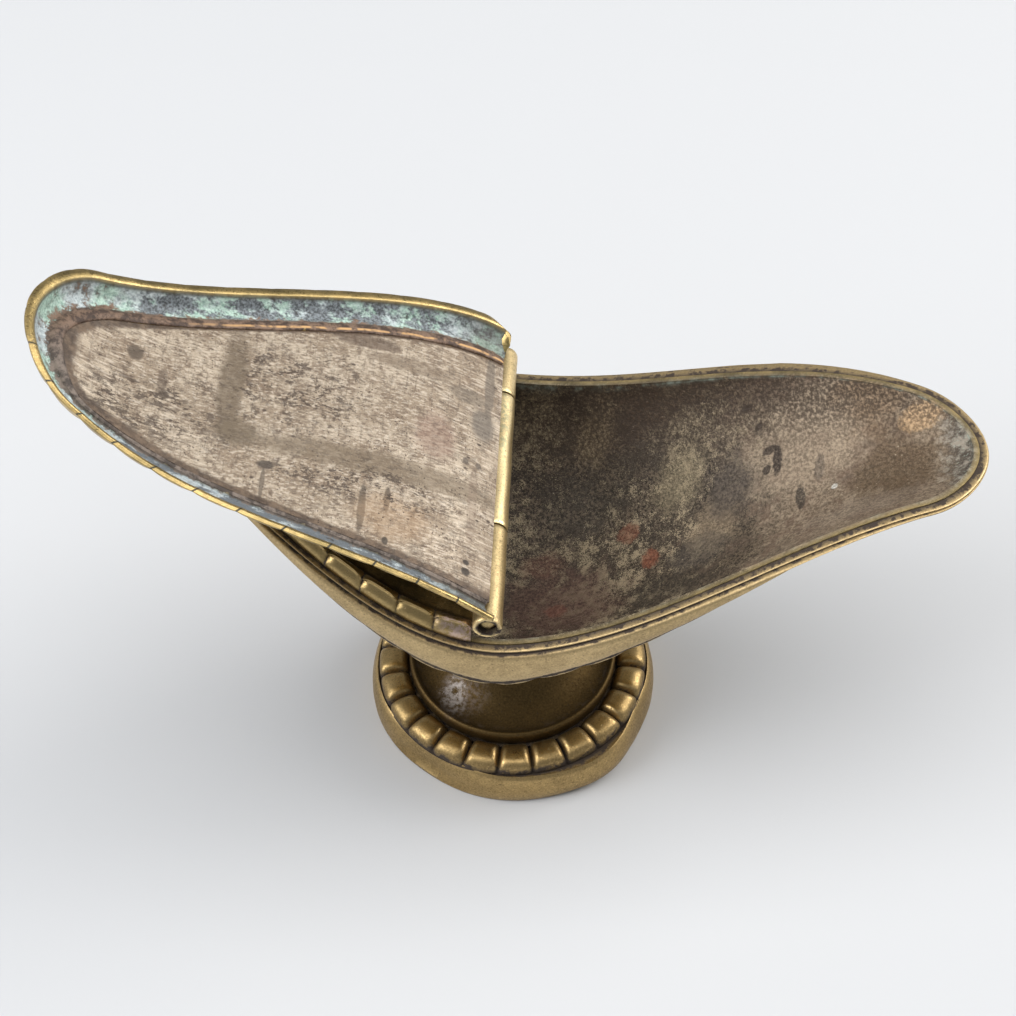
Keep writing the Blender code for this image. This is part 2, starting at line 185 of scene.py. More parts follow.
def build(name, points, faces, place, attributes, sharp_degrees=40):
    """An object from points in mm. The attribute local keeps the points as they were given."""
    points = np.asarray(points, float)
    mesh = bpy.data.meshes.new(name)
    world = points @ np.array(place.to_3x3()).T + np.array(place.translation)
    mesh.from_pydata(world.tolist(), [], faces)
    mesh.validate()
    local = mesh.attributes.new("local", "FLOAT_VECTOR", "POINT")
    local.data.foreach_set("vector", points.astype(np.float32).ravel())
    for key, values in attributes.items():
        layer = mesh.attributes.new(key, "FLOAT", "POINT")
        layer.data.foreach_set("value", np.asarray(values, np.float32).ravel())
    mesh.update()
    obj = bpy.data.objects.new(name, mesh)
    link(obj)
    bpy.context.view_layer.objects.active = obj
    work = bmesh.new()
    work.from_mesh(mesh)
    bmesh.ops.recalc_face_normals(work, faces=work.faces[:])
    work.to_mesh(mesh)
    work.free()
    mesh.shade_smooth()
    mesh.set_sharp_from_angle(angle=math.radians(sharp_degrees))
    return obj


def grid_faces(rows, columns, wrap_rows=False, wrap_columns=False, first=0):
    faces = []
    for r in range(rows if wrap_rows else rows - 1):
        for c in range(columns if wrap_columns else columns - 1):
            r2, c2 = (r + 1) % rows, (c + 1) % columns
            faces.append((first + r * columns + c, first + r * columns + c2,
                          first + r2 * columns + c2, first + r2 * columns + c))
    return faces


def loft(name, sections, place, attributes, around=False, sharp_degrees=40):
    """A closed solid from (stations, profile points, 3). An open run gets capped ends."""
    rows, columns = sections.shape[:2]
    faces = grid_faces(rows, columns, wrap_rows=around, wrap_columns=True)
    points = sections.reshape(-1, 3)
    values = {}
    for key, value in attributes.items():
        values[key] = np.broadcast_to(value, (rows, columns)).ravel()
    if not around:
        faces += [tuple(range(end * columns, (end + 1) * columns)) for end in (0, rows - 1)]
    return build(name, points, faces, place, values, sharp_degrees)


def smooth_profile(points):
    """Corner cutting on a closed profile. Columns that a row leaves out are 0."""
    points = np.array(list(itertools.zip_longest(*points, fillvalue=0))).T
    ahead = np.roll(points, -1, axis=0)
    pairs = np.stack([0.75 * points + 0.25 * ahead, 0.25 * points + 0.75 * ahead], 1)
    return pairs.reshape(-1, points.shape[1])


# ---------------------------------------------------------------- materials

class Look:
    """A short way to write a shader. Lengths are mm in the piece's own unplaced axes."""

    def __init__(self, name):
        self.material = bpy.data.materials.new(name)
        self.material.use_nodes = True
        self.tree = self.material.node_tree
        self.tree.nodes.clear()
        self.shader = self.node("BsdfPrincipled")
        self.node("OutputMaterial", {0: self.shader.outputs[0]})
        self.place = self.node("Attribute", attribute_name="local").outputs["Vector"]

    def put(self, value, socket):
        if isinstance(value, bpy.types.NodeSocket):
            self.tree.links.new(value, socket)
        elif isinstance(value, (tuple, list)):
            opaque = len(value) == 3 and len(socket.default_value) == 4
            socket.default_value = (*value, 1) if opaque else value
        else:
            socket.default_value = value

    def node(self, kind, inputs=(), **settings):
        node = self.tree.nodes.new("ShaderNode" + kind)
        for key, value in settings.items():
            setattr(node, key, value)
        for key, value in dict(inputs).items():
            self.put(value, node.inputs[key])
        return node

    def field(self, name):
        return self.node("Attribute", attribute_name=name).outputs["Fac"]

    def axes(self):
        node = self.node("SeparateXYZ", {0: self.place})
        return node.outputs[0], node.outputs[1]

    def math(self, operation, one, two=0, clamp=False):
        node = self.node("Math", {0: one, 1: two}, operation=operation, use_clamp=clamp)
        return node.outputs[0]

    def vector(self, operation, one, two):
        node = self.node("VectorMath", {0: one, 1: two}, operation=operation)
        return node.outputs["Value" if operation == "LENGTH" else "Vector"]

    def scatter(self, stretch, shift):
        """The place that a texture reads, moved so that no two are alike."""
        place = self.vector("ADD", self.place, shift)
        return self.vector("MULTIPLY", place, stretch) if stretch else place

    def noise(self, size, detail=4, rough=0.55, stretch=None, seed=0):
        """0 to 1 around 0.5, with its largest features about this many mm."""
        place = self.scatter(stretch, (seed * 17.3, seed * -9.1, seed * 5.7))
        inputs = {"Vector": place, "Scale": 1 / size, "Detail": detail, "Roughness": rough}
        return self.node("TexNoise", inputs).outputs[0]

    def cells(self, size, stretch=None, seed=0):
        """Distance to the nearest of scattered points, in cells."""
        place = self.scatter(stretch, (seed * 7.3, seed * 3.1, seed * -5.7))
        return self.node("TexVoronoi", {"Vector": place, "Scale": 1 / size}).outputs["Distance"]

    def step(self, value, low, high, start=0, end=1):
        """start where value is at low, end where it's at high. low may be above high."""
        if low > high:
            low, high, start, end = high, low, end, start
        inputs = {"Value": value, "From Min": low, "From Max": high, "To Min": start, "To Max": end}
        return self.node("MapRange", inputs, interpolation_type="SMOOTHSTEP").outputs[0]

    def mix(self, share, one, two):
        return self.node("Mix", {0: share, 6: one, 7: two}, data_type="RGBA").outputs[2]

    def add(self, one, two, clamp=False):
        return self.math("ADD", one, two, clamp)

    def less(self, one, two):
        return self.math("SUBTRACT", one, two)

    def around(self, value, gain):
        """A noise turned into an unevenness round 0."""
        return self.times(self.less(value, 0.5), gain)

    def most(self, *values):
        return functools.reduce(lambda one, two: self.math("MAXIMUM", one, two), values)

    def over(self, under, tint, value, low, high, most=1):
        """This tint over a colour, growing from low to high of the value."""
        return self.mix(self.step(value, low, high, 0, most), under, tint)

    def times(self, *values):
        return functools.reduce(lambda one, two: self.math("MULTIPLY", one, two), values)

    def blot(self, at, radius, soft=0.5, ragged=0.35, size=2, seed=0):
        """1 inside an ellipse round (x, y), 0 outside, with a ragged edge."""
        offset = self.vector("SUBTRACT", self.place, (at[0], at[1], 0))
        offset = self.vector("MULTIPLY", offset, (1 / radius[0], 1 / radius[1], 0))
        far = self.vector("LENGTH", offset, (0, 0, 0))
        far = self.add(far, self.around(self.noise(size, 5, 0.65, seed=seed), 4 * ragged))
        return self.step(far, 1 + soft / 2, 1 - soft / 2)

    def finish(self, colour, rough, metallic, bumps):
        """bumps is a list of (height, depth in mm)."""
        for key, value in (("Base Color", colour), ("Roughness", rough), ("Metallic", metallic)):
            self.put(value, self.shader.inputs[key])
        target = self.shader
        for height, depth in bumps[::-1]:
            node = self.node("Bump", {"Strength": 1, "Distance": depth * MM, "Height": height})
            self.put(node.outputs[0], target.inputs["Normal"])
            target = node
        return self.material


def shade(colour, share):
    return tuple(c * share for c in colour)


def brass(name, bright=(0.56, 0.41, 0.19), dull=(0.235, 0.18, 0.085), shade_and_grime=(0.062, 0.045, 0.034),
          rough=(0.24, 0.5), tarnish=0.5, seed=0, grain=0.45, stains=()):
    """Worn brass: bright where it's rubbed, olive where it isn't, with painted shade and grime in
    its grooves.
    """
    look = Look(name)
    groove = look.field("groove")
    rub = look.field("rub")
    cloud = look.noise(9, 5, 0.6, seed=seed)
    mottle = look.noise(1.6, 6, 0.65, seed=seed + 1)
    fine = look.noise(0.35, 3, 0.6, seed=seed + 2)
    worn = look.add(look.step(cloud, 0.36, 0.66, 0, 0.55), look.step(mottle, 0.35, 0.7, 0, 0.45))
    worn = look.add(look.times(worn, 1 - tarnish), look.times(rub, 0.9), clamp=True)
    colour = look.mix(worn, dull, bright)
    colour = look.over(colour, shade(dull, 0.45), fine, 0.52, 0.68, grain)
    colour = look.over(colour, shade(bright, 1.25), fine, 0.46, 0.3, grain)
    for k, (x, y, wide, deep, *tint, strength) in enumerate(stains):
        mask = look.blot((x, y), (wide, deep), 0.9, 0.35, 2.2, seed=seed + 50 + k)
        mask = look.times(mask, look.step(look.noise(1.1, 6, 0.75, seed=seed + 60 + k), 0.42, 0.58))
        colour = look.mix(look.times(mask, strength), colour, tint)
    pits = look.step(look.cells(1.3, seed=seed), 0.12, 0.05)
    # Painted shade and some grime darken the grooves and their mottled edges; the pits are real.
    dark = look.times(look.step(mottle, 0.47, 0.6), 0.8)
    near_groove = look.times(dark, look.step(groove, 0.02, 0.4))
    crevice_shade_and_dirt = look.add(look.step(groove, 0.25, 0.85), near_groove, clamp=True)
    crevice_shade_and_dirt = look.most(crevice_shade_and_dirt, look.times(pits, 0.6))
    colour = look.mix(crevice_shade_and_dirt, colour, shade_and_grime)
    shine = look.step(worn, 0, 1, rough[1], rough[0])
    shine = look.add(shine, look.step(fine, 0.3, 0.8, -0.06, 0.1))
    shine = look.add(shine, look.times(crevice_shade_and_dirt, 0.3), clamp=True)
    metallic = look.step(crevice_shade_and_dirt, 0, 1, 1, 0.35)
    scratch = look.noise(0.5, 2, 0.5, stretch=(0.12, 1, 1), seed=seed + 3)
    bumps = [(cloud, 0.12), (mottle, 0.035), (fine, 0.012), (scratch, 0.006),
             (look.less(1, pits), 0.03)]
    return look.finish(colour, shine, metallic, bumps)


def bowl_look():
    """Burnt dark grain near the hinge, worn tan towards the tip, and brass on the outside."""
    look = Look("bowl_patina")
    x, y = look.axes()
    grain = look.noise(0.55, 5, 0.72, seed=1)
    sand = look.noise(0.22, 3, 0.7, seed=2)
    patch = look.noise(5.5, 6, 0.68, seed=3)
    wide = look.noise(13, 5, 0.6, seed=4)
    flake = look.noise(2.1, 6, 0.72, seed=5)

    burnt = look.over((0.022, 0.015, 0.01), (0.15, 0.11, 0.072), grain, 0.42, 0.6)
    burnt = look.over(burnt, (0.04, 0.029, 0.02), patch, 0.45, 0.55, 0.7)
    burnt = look.over(burnt, (0.33, 0.26, 0.17), sand, 0.56, 0.64, 0.5)
    gritty = look.around(sand, 0.9)
    crumbs = look.add(look.add(flake, gritty), look.around(wide, 0.9))
    crumbs = look.step(crumbs, 0.56, 0.64, 0, 0.8)
    burnt = look.mix(crumbs, burnt, (0.4, 0.32, 0.2))
    tan = look.over((0.14, 0.1, 0.066), (0.345, 0.265, 0.183), grain, 0.38, 0.62)
    tan = look.over(tan, (0.06, 0.042, 0.03), sand, 0.57, 0.64, 0.45)
    tan = look.over(tan, (0.15, 0.095, 0.066), patch, 0.49, 0.57, 0.5)
    tan = look.mix(look.times(look.step(flake, 0.54, 0.6), 0.5), tan, (0.46, 0.365, 0.26))
    brushed = look.noise(0.9, 4, 0.6, stretch=(0.16, 1, 1), seed=6)
    tan = look.over(tan, (0.11, 0.082, 0.058), brushed, 0.52, 0.68, 0.55)
    worn = look.add(x, look.around(patch, 46))
    worn = look.add(worn, look.times(gritty, 26))
    worn = look.add(worn, look.around(wide, 30))
    colour = look.over(burnt, tan, worn, 34, 50)
    middle = look.step(x, 14, 26), look.step(x, 50, 40)
    colour = look.mix(look.times(crumbs, *middle, 0.7), colour, (0.44, 0.35, 0.23))

    # (x, y, half length, half width, red, green, blue, strength)
    spots = (
        (11, -6, 10, 8, 0.115, 0.06, 0.045, 0.75), (26.7, 0.2, 1.5, 2, 0.27, 0.085, 0.042, 0.75),
        (22.9, 6.8, 1.9, 1.8, 0.24, 0.08, 0.042, 0.65), (10.5, -7, 2, 1.6, 0.24, 0.09, 0.06, 0.5),
        (8, 4, 3.5, 2.5, 0.17, 0.075, 0.05, 0.5), (31.5, 13, 3.5, 5, 0.34, 0.275, 0.165, 0.55),
        (16, 23, 3.5, 3, 0.36, 0.27, 0.16, 0.55), (37, 1.5, 4, 4.5, 0.4, 0.3, 0.19, 0.5),
        (35, -2.2, 4.5, 3.4, 0.095, 0.078, 0.062, 0.65),
        (40, 7.8, 3.4, 5, 0.09, 0.07, 0.055, 0.75), (52, 10, 9, 7, 0.4, 0.31, 0.215, 0.65),
        (66, 0.5, 6.5, 7.5, 0.12, 0.078, 0.042, 0.9), (15, 14, 7, 5, 0.05, 0.042, 0.03, 0.35),
        (30, 24, 12, 3, 0.075, 0.045, 0.03, 0.7), (47, 19.5, 9, 2.6, 0.1, 0.06, 0.04, 0.6),
        (29, -9, 6, 4, 0.05, 0.04, 0.028, 0.6), (62, 14, 5, 6, 0.24, 0.15, 0.08, 0.6),
        (70, 8.5, 3.6, 2.2, 0.55, 0.36, 0.19, 0.7), (60, -7, 9, 3, 0.3, 0.24, 0.18, 0.5),
        (47.3, 9.2, 0.7, 2.3, 0.03, 0.018, 0.012, 0.95),
        (46, 11.2, 1.2, 0.6, 0.03, 0.018, 0.012, 0.9),
        (45.6, 8.4, 0.7, 0.7, 0.03, 0.018, 0.012, 0.9),
        (44, 15, 0.6, 0.5, 0.03, 0.018, 0.012, 0.9),
        (41.7, 17.9, 0.9, 0.45, 0.03, 0.018, 0.012, 0.9),
        (51, 1, 0.75, 2.4, 0.05, 0.038, 0.028, 0.9), (54, 5.5, 0.8, 2.2, 0.13, 0.1, 0.075, 0.7),
        (56.3, 1, 0.5, 0.5, 0.62, 0.6, 0.54, 0.9),
    )
    for k, (at_x, at_y, along, across, *tint, strength) in enumerate(spots):
        soft, ragged, size = (0.35, 0.3, 0.8) if min(along, across) < 2.5 else (0.9, 0.5, 4.5)
        mask = look.blot((at_x, at_y), (along, across), soft, ragged, size, seed=k + 10)
        mask = look.times(mask, look.step(sand, 0.38, 0.5, 0.45, 1))
        tint = look.mix(look.step(grain, 0.36, 0.66), shade(tint, 0.62), shade(tint, 1.25))
        colour = look.mix(look.times(mask, strength), colour, tint)

    tip = look.add(x, look.around(flake, 9))
    tip_colour = look.over((0.075, 0.062, 0.05), (0.36, 0.32, 0.26), flake, 0.44, 0.58)
    tip_colour = look.over(tip_colour, (0.36, 0.42, 0.35), grain, 0.54, 0.66, 0.7)
    colour = look.over(colour, tip_colour, tip, 71.5, 75.5, 0.85)
    flecks = look.step(look.cells(0.75, seed=3), 0.16, 0.08)
    flecks = look.times(flecks, look.step(sand, 0.5, 0.6), 0.8)
    colour = look.mix(flecks, colour, (0.016, 0.012, 0.009))
    glints = look.step(look.cells(1.1, seed=9), 0.11, 0.05)
    glints = look.times(glints, look.step(grain, 0.52, 0.58), 0.9)
    colour = look.mix(glints, colour, (0.55, 0.46, 0.34))
    rear_edge = look.step(look.add(y, look.times(x, 0.22)), 20, 27)
    rear_edge = look.times(rear_edge, look.step(grain, 0.62, 0.45), 0.75)
    colour = look.mix(rear_edge, colour, (0.062, 0.042, 0.028))

    edge = look.field("edge")
    verdigris = look.over((0.13, 0.12, 0.09), (0.38, 0.44, 0.37), flake, 0.4, 0.62)
    edge = look.times(edge, look.step(look.noise(3.4, 5, seed=8), 0.42, 0.58, 0.05, 1))
    colour = look.mix(edge, colour, verdigris)

    outside = look.field("outside")
    skin = look.over((0.2, 0.16, 0.08), (0.42, 0.32, 0.15), patch, 0.35, 0.65)
    # Painted shade in the grooves between the hull's lobes.
    skin = look.mix(look.step(look.field("groove"), 0.3, 0.8), skin, (0.035, 0.026, 0.015))
    colour = look.mix(outside, colour, skin)
    rough = look.step(grain, 0.3, 0.7, 0.72, 0.42)
    metallic = look.most(outside, look.step(worn, 30, 70, 0.15, 0.4))
    bumps = [(patch, 0.25), (flake, 0.16), (grain, 0.11), (sand, 0.05)]
    return look.finish(colour, rough, metallic, bumps)


def panel_look(name, seed=0):
    """The pale pitted plate inside the lid."""
    look = Look(name)
    x, y = look.axes()
    cloud = look.noise(10, 5, 0.6, seed=seed)
    mottle = look.noise(2.4, 6, 0.72, seed=seed + 1)
    fine = look.noise(0.42, 4, 0.75, seed=seed + 2)
    brush = look.noise(0.42, 3, 0.65, stretch=(0.07, 1, 1), seed=seed + 3)
    cross = look.noise(0.4, 3, 0.65, stretch=(1, 0.1, 1), seed=seed + 4)
    colour = look.over((0.38, 0.295, 0.21), (0.57, 0.47, 0.355), cloud, 0.4, 0.6)
    colour = look.over(colour, (0.225, 0.16, 0.11), mottle, 0.5, 0.6, 0.65)
    colour = look.over(colour, (0.16, 0.115, 0.082), brush, 0.53, 0.6, 0.55)
    colour = look.over(colour, (0.15, 0.11, 0.08), cross, 0.56, 0.62, 0.4)
    colour = look.over(colour, (0.74, 0.64, 0.52), brush, 0.45, 0.39, 0.65)
    colour = look.over(colour, (0.72, 0.63, 0.51), fine, 0.56, 0.64, 0.6)

    stains = (
        (21, -7.6, 23, 2.5, 0.225, 0.172, 0.115, 0.72),
        (45.4, 3, 2.1, 11.5, 0.19, 0.145, 0.098, 0.78),
        (43.5, -7, 3.2, 2.9, 0.19, 0.148, 0.1, 0.7),
        (20, -14.6, 0.5, 2.6, 0.085, 0.068, 0.052, 0.85),
        (23.8, -17.5, 0.62, 5, 0.1, 0.08, 0.06, 0.8),
        (38.6, -12.6, 1.3, 0.8, 0.085, 0.07, 0.058, 0.85),
        (38.8, -16.4, 0.35, 3.6, 0.14, 0.11, 0.082, 0.75),
        (61.1, 3.7, 1.45, 1.45, 0.125, 0.095, 0.07, 0.88),
        (56, -0.4, 0.8, 3, 0.16, 0.12, 0.09, 0.6),
        (55.4, -3.2, 0.9, 0.8, 0.125, 0.095, 0.07, 0.8),
        (4.4, 8.5, 2.3, 3.6, 0.165, 0.14, 0.115, 0.8), (3.4, 18, 1, 8, 0.2, 0.165, 0.13, 0.75),
        (7.4, 13.6, 3.6, 1.7, 0.2, 0.165, 0.125, 0.6),
        (25.8, 19, 5.8, 1.5, 0.15, 0.105, 0.075, 0.75),
        (17.5, 16, 7.5, 1.6, 0.24, 0.18, 0.125, 0.6), (19, -18, 6, 4.5, 0.44, 0.29, 0.17, 0.45),
        (13, 2, 3.4, 5.2, 0.29, 0.18, 0.135, 0.55),
        (5.8, -24, 0.85, 0.75, 0.05, 0.042, 0.036, 0.9),
        (5.8, -22.1, 0.6, 0.5, 0.05, 0.042, 0.036, 0.9),
        (19.7, -23, 0.5, 0.8, 0.055, 0.045, 0.036, 0.85),
        (4.7, -0.9, 0.65, 0.65, 0.1, 0.08, 0.065, 0.75),
        (7.2, -0.9, 0.55, 0.7, 0.1, 0.08, 0.065, 0.75), (5.4, -10, 0.9, 9, 0.27, 0.2, 0.145, 0.5),
    )
    for k, (at_x, at_y, along, across, *tint, strength) in enumerate(stains):
        soft, ragged, size = (0.45, 0.16, 1.5) if min(along, across) < 2 else (0.7, 0.2, 3.5)
        mask = look.blot((at_x, at_y), (along, across), soft, ragged, size, seed=k + 30)
        colour = look.mix(look.times(mask, strength), colour, tint)

    # Painted shade and brown grime along the plate's edge, where the border's wall shades it.
    rim_near = look.field("rim_near")
    band = look.add(rim_near, look.around(mottle, 0.75))
    band_colour = look.over((0.075, 0.05, 0.036), (0.2, 0.14, 0.095), mottle, 0.4, 0.62)
    colour = look.over(colour, band_colour, band, 0.3, 0.62, 0.93)

    worn = look.most(
        look.blot((37, 5.5), (13, 11.5), 1.2, 0.3, 6, seed=81),
        look.blot((59, -6.5), (13, 6.5), 1, 0.35, 6, seed=82),
        look.blot((24, -12), (16, 5), 1.2, 0.35, 6, seed=83),
    )
    short = look.noise(0.55, 3, 0.7, stretch=(0.3, 1, 1), seed=seed + 9)
    long = look.noise(1.2, 5, 0.75, stretch=(0.55, 1, 1), seed=seed + 13)
    dashes = look.most(look.step(short, 0.535, 0.57), look.step(long, 0.53, 0.565))
    clumps = look.step(look.noise(3, 5, 0.7, seed=seed + 6), 0.42, 0.56)
    dashes = look.times(dashes, look.most(worn, 0.4), look.most(clumps, 0.3))
    near_tip = look.most(
        look.blot((60, -7), (12, 6), 1, 0.3, 5, seed=84),
        look.blot((52, -9.5), (8, 4), 1, 0.3, 5, seed=85),
    )
    brown = look.noise(1.9, 6, 0.78, stretch=(0.45, 1, 1), seed=seed + 11)
    brown = look.times(look.step(brown, 0.52, 0.59), near_tip, 0.9)
    dots = look.step(look.cells(0.8, seed=seed + 5), 0.2, 0.12)
    dots = look.times(dots, look.step(look.noise(6, 4, seed=seed + 7), 0.42, 0.56))
    big = look.times(look.step(look.cells(2.6, stretch=(0.6, 1, 1), seed=seed + 8), 0.13, 0.07),
                     look.step(look.noise(7, 3, seed=seed + 12), 0.45, 0.55))
    pits = look.most(dashes, dots, big, brown)
    colour = look.mix(look.times(pits, 0.88), colour, (0.07, 0.048, 0.036))
    rough = look.add(look.step(mottle, 0.3, 0.7, 0.4, 0.55), look.times(pits, 0.2), clamp=True)
    metallic = look.step(pits, 0, 1, 0.35, 0.1)
    outside = look.field("outside")
    skin = look.over((0.21, 0.158, 0.072), (0.47, 0.345, 0.155), cloud, 0.38, 0.62)
    skin = look.over(skin, (0.17, 0.128, 0.062), mottle, 0.5, 0.66, 0.6)
    skin = look.over(skin, (0.13, 0.098, 0.05), brush, 0.55, 0.62, 0.5)
    # Painted shade on the plate's outside along its edge.
    skin = look.over(skin, (0.07, 0.052, 0.034), band, 0.5, 0.85, 0.8)
    colour = look.mix(outside, colour, skin)
    metallic = look.most(metallic, look.times(outside, 0.95))
    bumps = [(cloud, 0.1), (mottle, 0.06), (fine, 0.02), (brush, 0.015), (look.less(1, pits), 0.06)]
    return look.finish(colour, rough, metallic, bumps)


def lid_border_look():
    """Brass outside, verdigris and grey in the trough, a reddish ridge beside the panel."""
    look = Look("lid_border")
    x, y = look.axes()
    trough, ridge, groove = look.field("trough"), look.field("ridge"), look.field("groove")
    cloud = look.noise(8, 5, 0.6, seed=41)
    mottle = look.noise(1.9, 6, 0.7, seed=42)
    fine = look.noise(0.45, 4, 0.7, seed=43)
    metal = look.over((0.34, 0.255, 0.11), (0.62, 0.45, 0.19), cloud, 0.35, 0.65)
    metal = look.over(metal, (0.22, 0.17, 0.085), mottle, 0.5, 0.7, 0.5)
    # Painted shade in the border's grooves and notches.
    crevice_shade_and_dirt = look.step(groove, 0.3, 0.8)
    metal = look.mix(crevice_shade_and_dirt, metal, (0.05, 0.045, 0.028))

    grey = look.over((0.075, 0.082, 0.085), (0.27, 0.3, 0.32), fine, 0.38, 0.62)
    mint = look.over((0.27, 0.42, 0.35), (0.58, 0.74, 0.64), fine, 0.36, 0.62)
    pale = look.over((0.36, 0.42, 0.44), (0.66, 0.72, 0.72), fine, 0.36, 0.62)
    frost = look.noise(3.4, 6, 0.72, stretch=(0.6, 1, 1), seed=44)
    at_tip = look.step(x, 60, 72)
    rear = look.step(y, 0, 8)
    amount = look.add(frost, look.times(at_tip, 0.22))
    crust = look.over(pale, mint, cloud, 0.42, 0.56)
    inner = look.over(grey, crust, amount, 0.47, 0.56)
    front = look.over((0.17, 0.19, 0.205), pale, amount, 0.5, 0.6)
    front = look.over(front, (0.085, 0.09, 0.1), fine, 0.5, 0.7, 0.6)
    inner = look.mix(look.most(rear, at_tip), front, inner)
    inner = look.mix(look.times(look.step(mottle, 0.56, 0.66), 0.85), inner, (0.05, 0.046, 0.042))
    muddy_tip = look.times(at_tip, look.step(mottle, 0.45, 0.6), 0.6)
    inner = look.mix(muddy_tip, inner, (0.1, 0.085, 0.07))
    near_hinge = look.times(look.step(x, 14, 4), 0.6)
    muddy_green = look.over((0.1, 0.085, 0.065), (0.28, 0.34, 0.29), mottle, 0.45, 0.6)
    inner = look.mix(near_hinge, inner, muddy_green)
    # Painted shade in the trough where it runs in under the lip.
    lip = look.field("lip")
    inner = look.over(inner, (0.05, 0.055, 0.045), lip, 0.3, 0.9, 0.7)

    ridge_colour = look.over((0.085, 0.055, 0.042), (0.25, 0.165, 0.115), mottle, 0.42, 0.58)
    ridge_colour = look.over(ridge_colour, (0.045, 0.03, 0.022), fine, 0.52, 0.64, 0.7)
    scraped = look.step(look.noise(1.4, 4, stretch=(0.5, 1, 1), seed=45), 0.4, 0.56)
    copper = look.times(look.step(x, 60, 40), scraped, look.step(look.field("crest"), 0.35, 0.8))
    ridge_colour = look.mix(copper, ridge_colour, (0.66, 0.4, 0.18))
    colour = look.mix(trough, metal, inner)
    # Along the front the ridge is painted dark brown for the shade that its wall lies in.
    front_shade_brown = look.over((0.075, 0.058, 0.048), (0.25, 0.2, 0.165), mottle, 0.42, 0.6)
    front_ridge_shade = look.step(y, 4, -6)
    ridge_colour = look.mix(front_ridge_shade, ridge_colour, front_shade_brown)
    ragged = look.add(ridge, look.around(mottle, 2.2))
    ragged = look.add(ragged, look.times(at_tip, 0.25))
    ridge = look.step(ragged, 0.45, 0.68)
    colour = look.mix(ridge, colour, ridge_colour)
    rough = look.mix(trough, (0.3, 0.3, 0.3), (0.68, 0.68, 0.68))
    rough = look.add(look.step(fine, 0.3, 0.7, -0.05, 0.12), rough, clamp=True)
    plain = look.most(look.times(trough, 0.92), look.times(crevice_shade_and_dirt, 0.6))
    plain = look.most(plain, look.times(ridge, 0.8))
    metallic = look.less(1, plain)
    rough = look.most(rough, look.times(ridge, 0.6))
    return look.finish(colour, rough, metallic, [(cloud, 0.1), (mottle, 0.06), (fine, 0.03)])


# ---------------------------------------------------------------- pieces

def keep(piece, body, node, material):
    piece.data.materials.clear()
    piece.data.materials.append(material)
    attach(piece, body)
    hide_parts(node)
    return piece


def make_hull():
    around = 460
    angles = np.concatenate([[0, 1.5, 3.5], np.linspace(6, 84, 44), [86.5, 88.6]])
    plan_edge = whole_outline(BOWL_INSET, around)
    run, total = arc_length(plan_edge)
    lobes = round(total / LOBE_PITCH)
    phase = run / total * lobes
    bulge = 1 - np.abs(2 * (phase % 1) - 1) ** 3
    skins, grooves = [], []
    for skin, (inset, depth) in enumerate(
        ((BOWL_INSET, BOWL_DEPTH), (BOWL_INSET + BOWL_SHEET, BOWL_DEPTH - BOWL_SHEET))
    ):
        edge = whole_outline(inset, around)
        normal = outward(edge)
        rings, ring_groove = [], []
        for angle in angles:
            plan = edge * math.cos(math.radians(angle))
            x, y = plan[:, 0], plan[:, 1]
            share = np.abs(x) / (end_length(x) - inset)
            drop = depth * np.clip(1 - share**BOWL_ALONG, 0, 1) ** BOWL_END
            across = np.clip(np.abs(y) / np.maximum(half_width(x, inset), 1e-9), 0, 1)
            if angle == 0:
                across = np.ones_like(across)
            section = 0.5 + 0.5 * np.clip(share / 0.7, 0, 1) ** 2
            z = ledge_z(x) - drop * (1 - across**2) ** section
            if angle == 0:
                z = z + BOWL_PROUD + 0.05 * wobble(x, y, 9)
            ring = np.stack([x, y, z], 1)
            fade = math.sin(math.radians(min(angle * 2.4, 180))) ** 0.8 if angle < 75 else 0
            middle = np.clip(1 - np.abs(edge[:, 0]) / end_length(edge[:, 0]), 0, 1) ** 0.5
            if skin == 0:
                ring[:, :2] += normal * (1.35 * fade * middle * bulge)[:, None]
            else:
                ring[:, 2] += 0.16 * wobble(x, y, 11, 1) * min(angle / 30, 1)
            rings.append(ring)
            ring_groove.append((1 - bulge) * fade if skin == 0 else 0 * bulge)
        skins.append(np.array(rings))
        grooves.append(np.array(ring_groove))
    rows = len(angles)
    points = np.concatenate([skins[0].reshape(-1, 3), skins[1].reshape(-1, 3),
                             [(0, 0, RIM_Z - BOWL_DEPTH), (0, 0, RIM_Z - BOWL_DEPTH + BOWL_SHEET)]])
    half = rows * around
    faces = grid_faces(rows, around, wrap_columns=True)
    faces += grid_faces(rows, around, wrap_columns=True, first=half)
    for k in range(around):
        following = (k + 1) % around
        faces.append((k, following, half + following, half + k))
        last = (rows - 1) * around
        faces.append((last + k, last + following, 2 * half))
        faces.append((half + last + k, half + last + following, 2 * half + 1))
    outside = np.concatenate([np.ones(half), np.zeros(half), [1, 0]])
    edge_rows = np.zeros((2, rows, around))
    edge_rows[1, 0] = 0.3
    edge_rows[1, 1] = 1
    edge_rows[1, 2] = 0.25
    edge = np.concatenate([edge_rows.ravel(), [0, 0]])
    outside[half:half + around] = 0.2
    groove = np.concatenate([grooves[0].ravel(), grooves[1].ravel(), [0, 0]])
    values = {"outside": outside, "edge": edge, "groove": groove, "rub": 0 * groove}
    piece = build("hull", points, faces, BOAT, values, 60)
    keep(piece, "boat", "bowl", bowl_look())


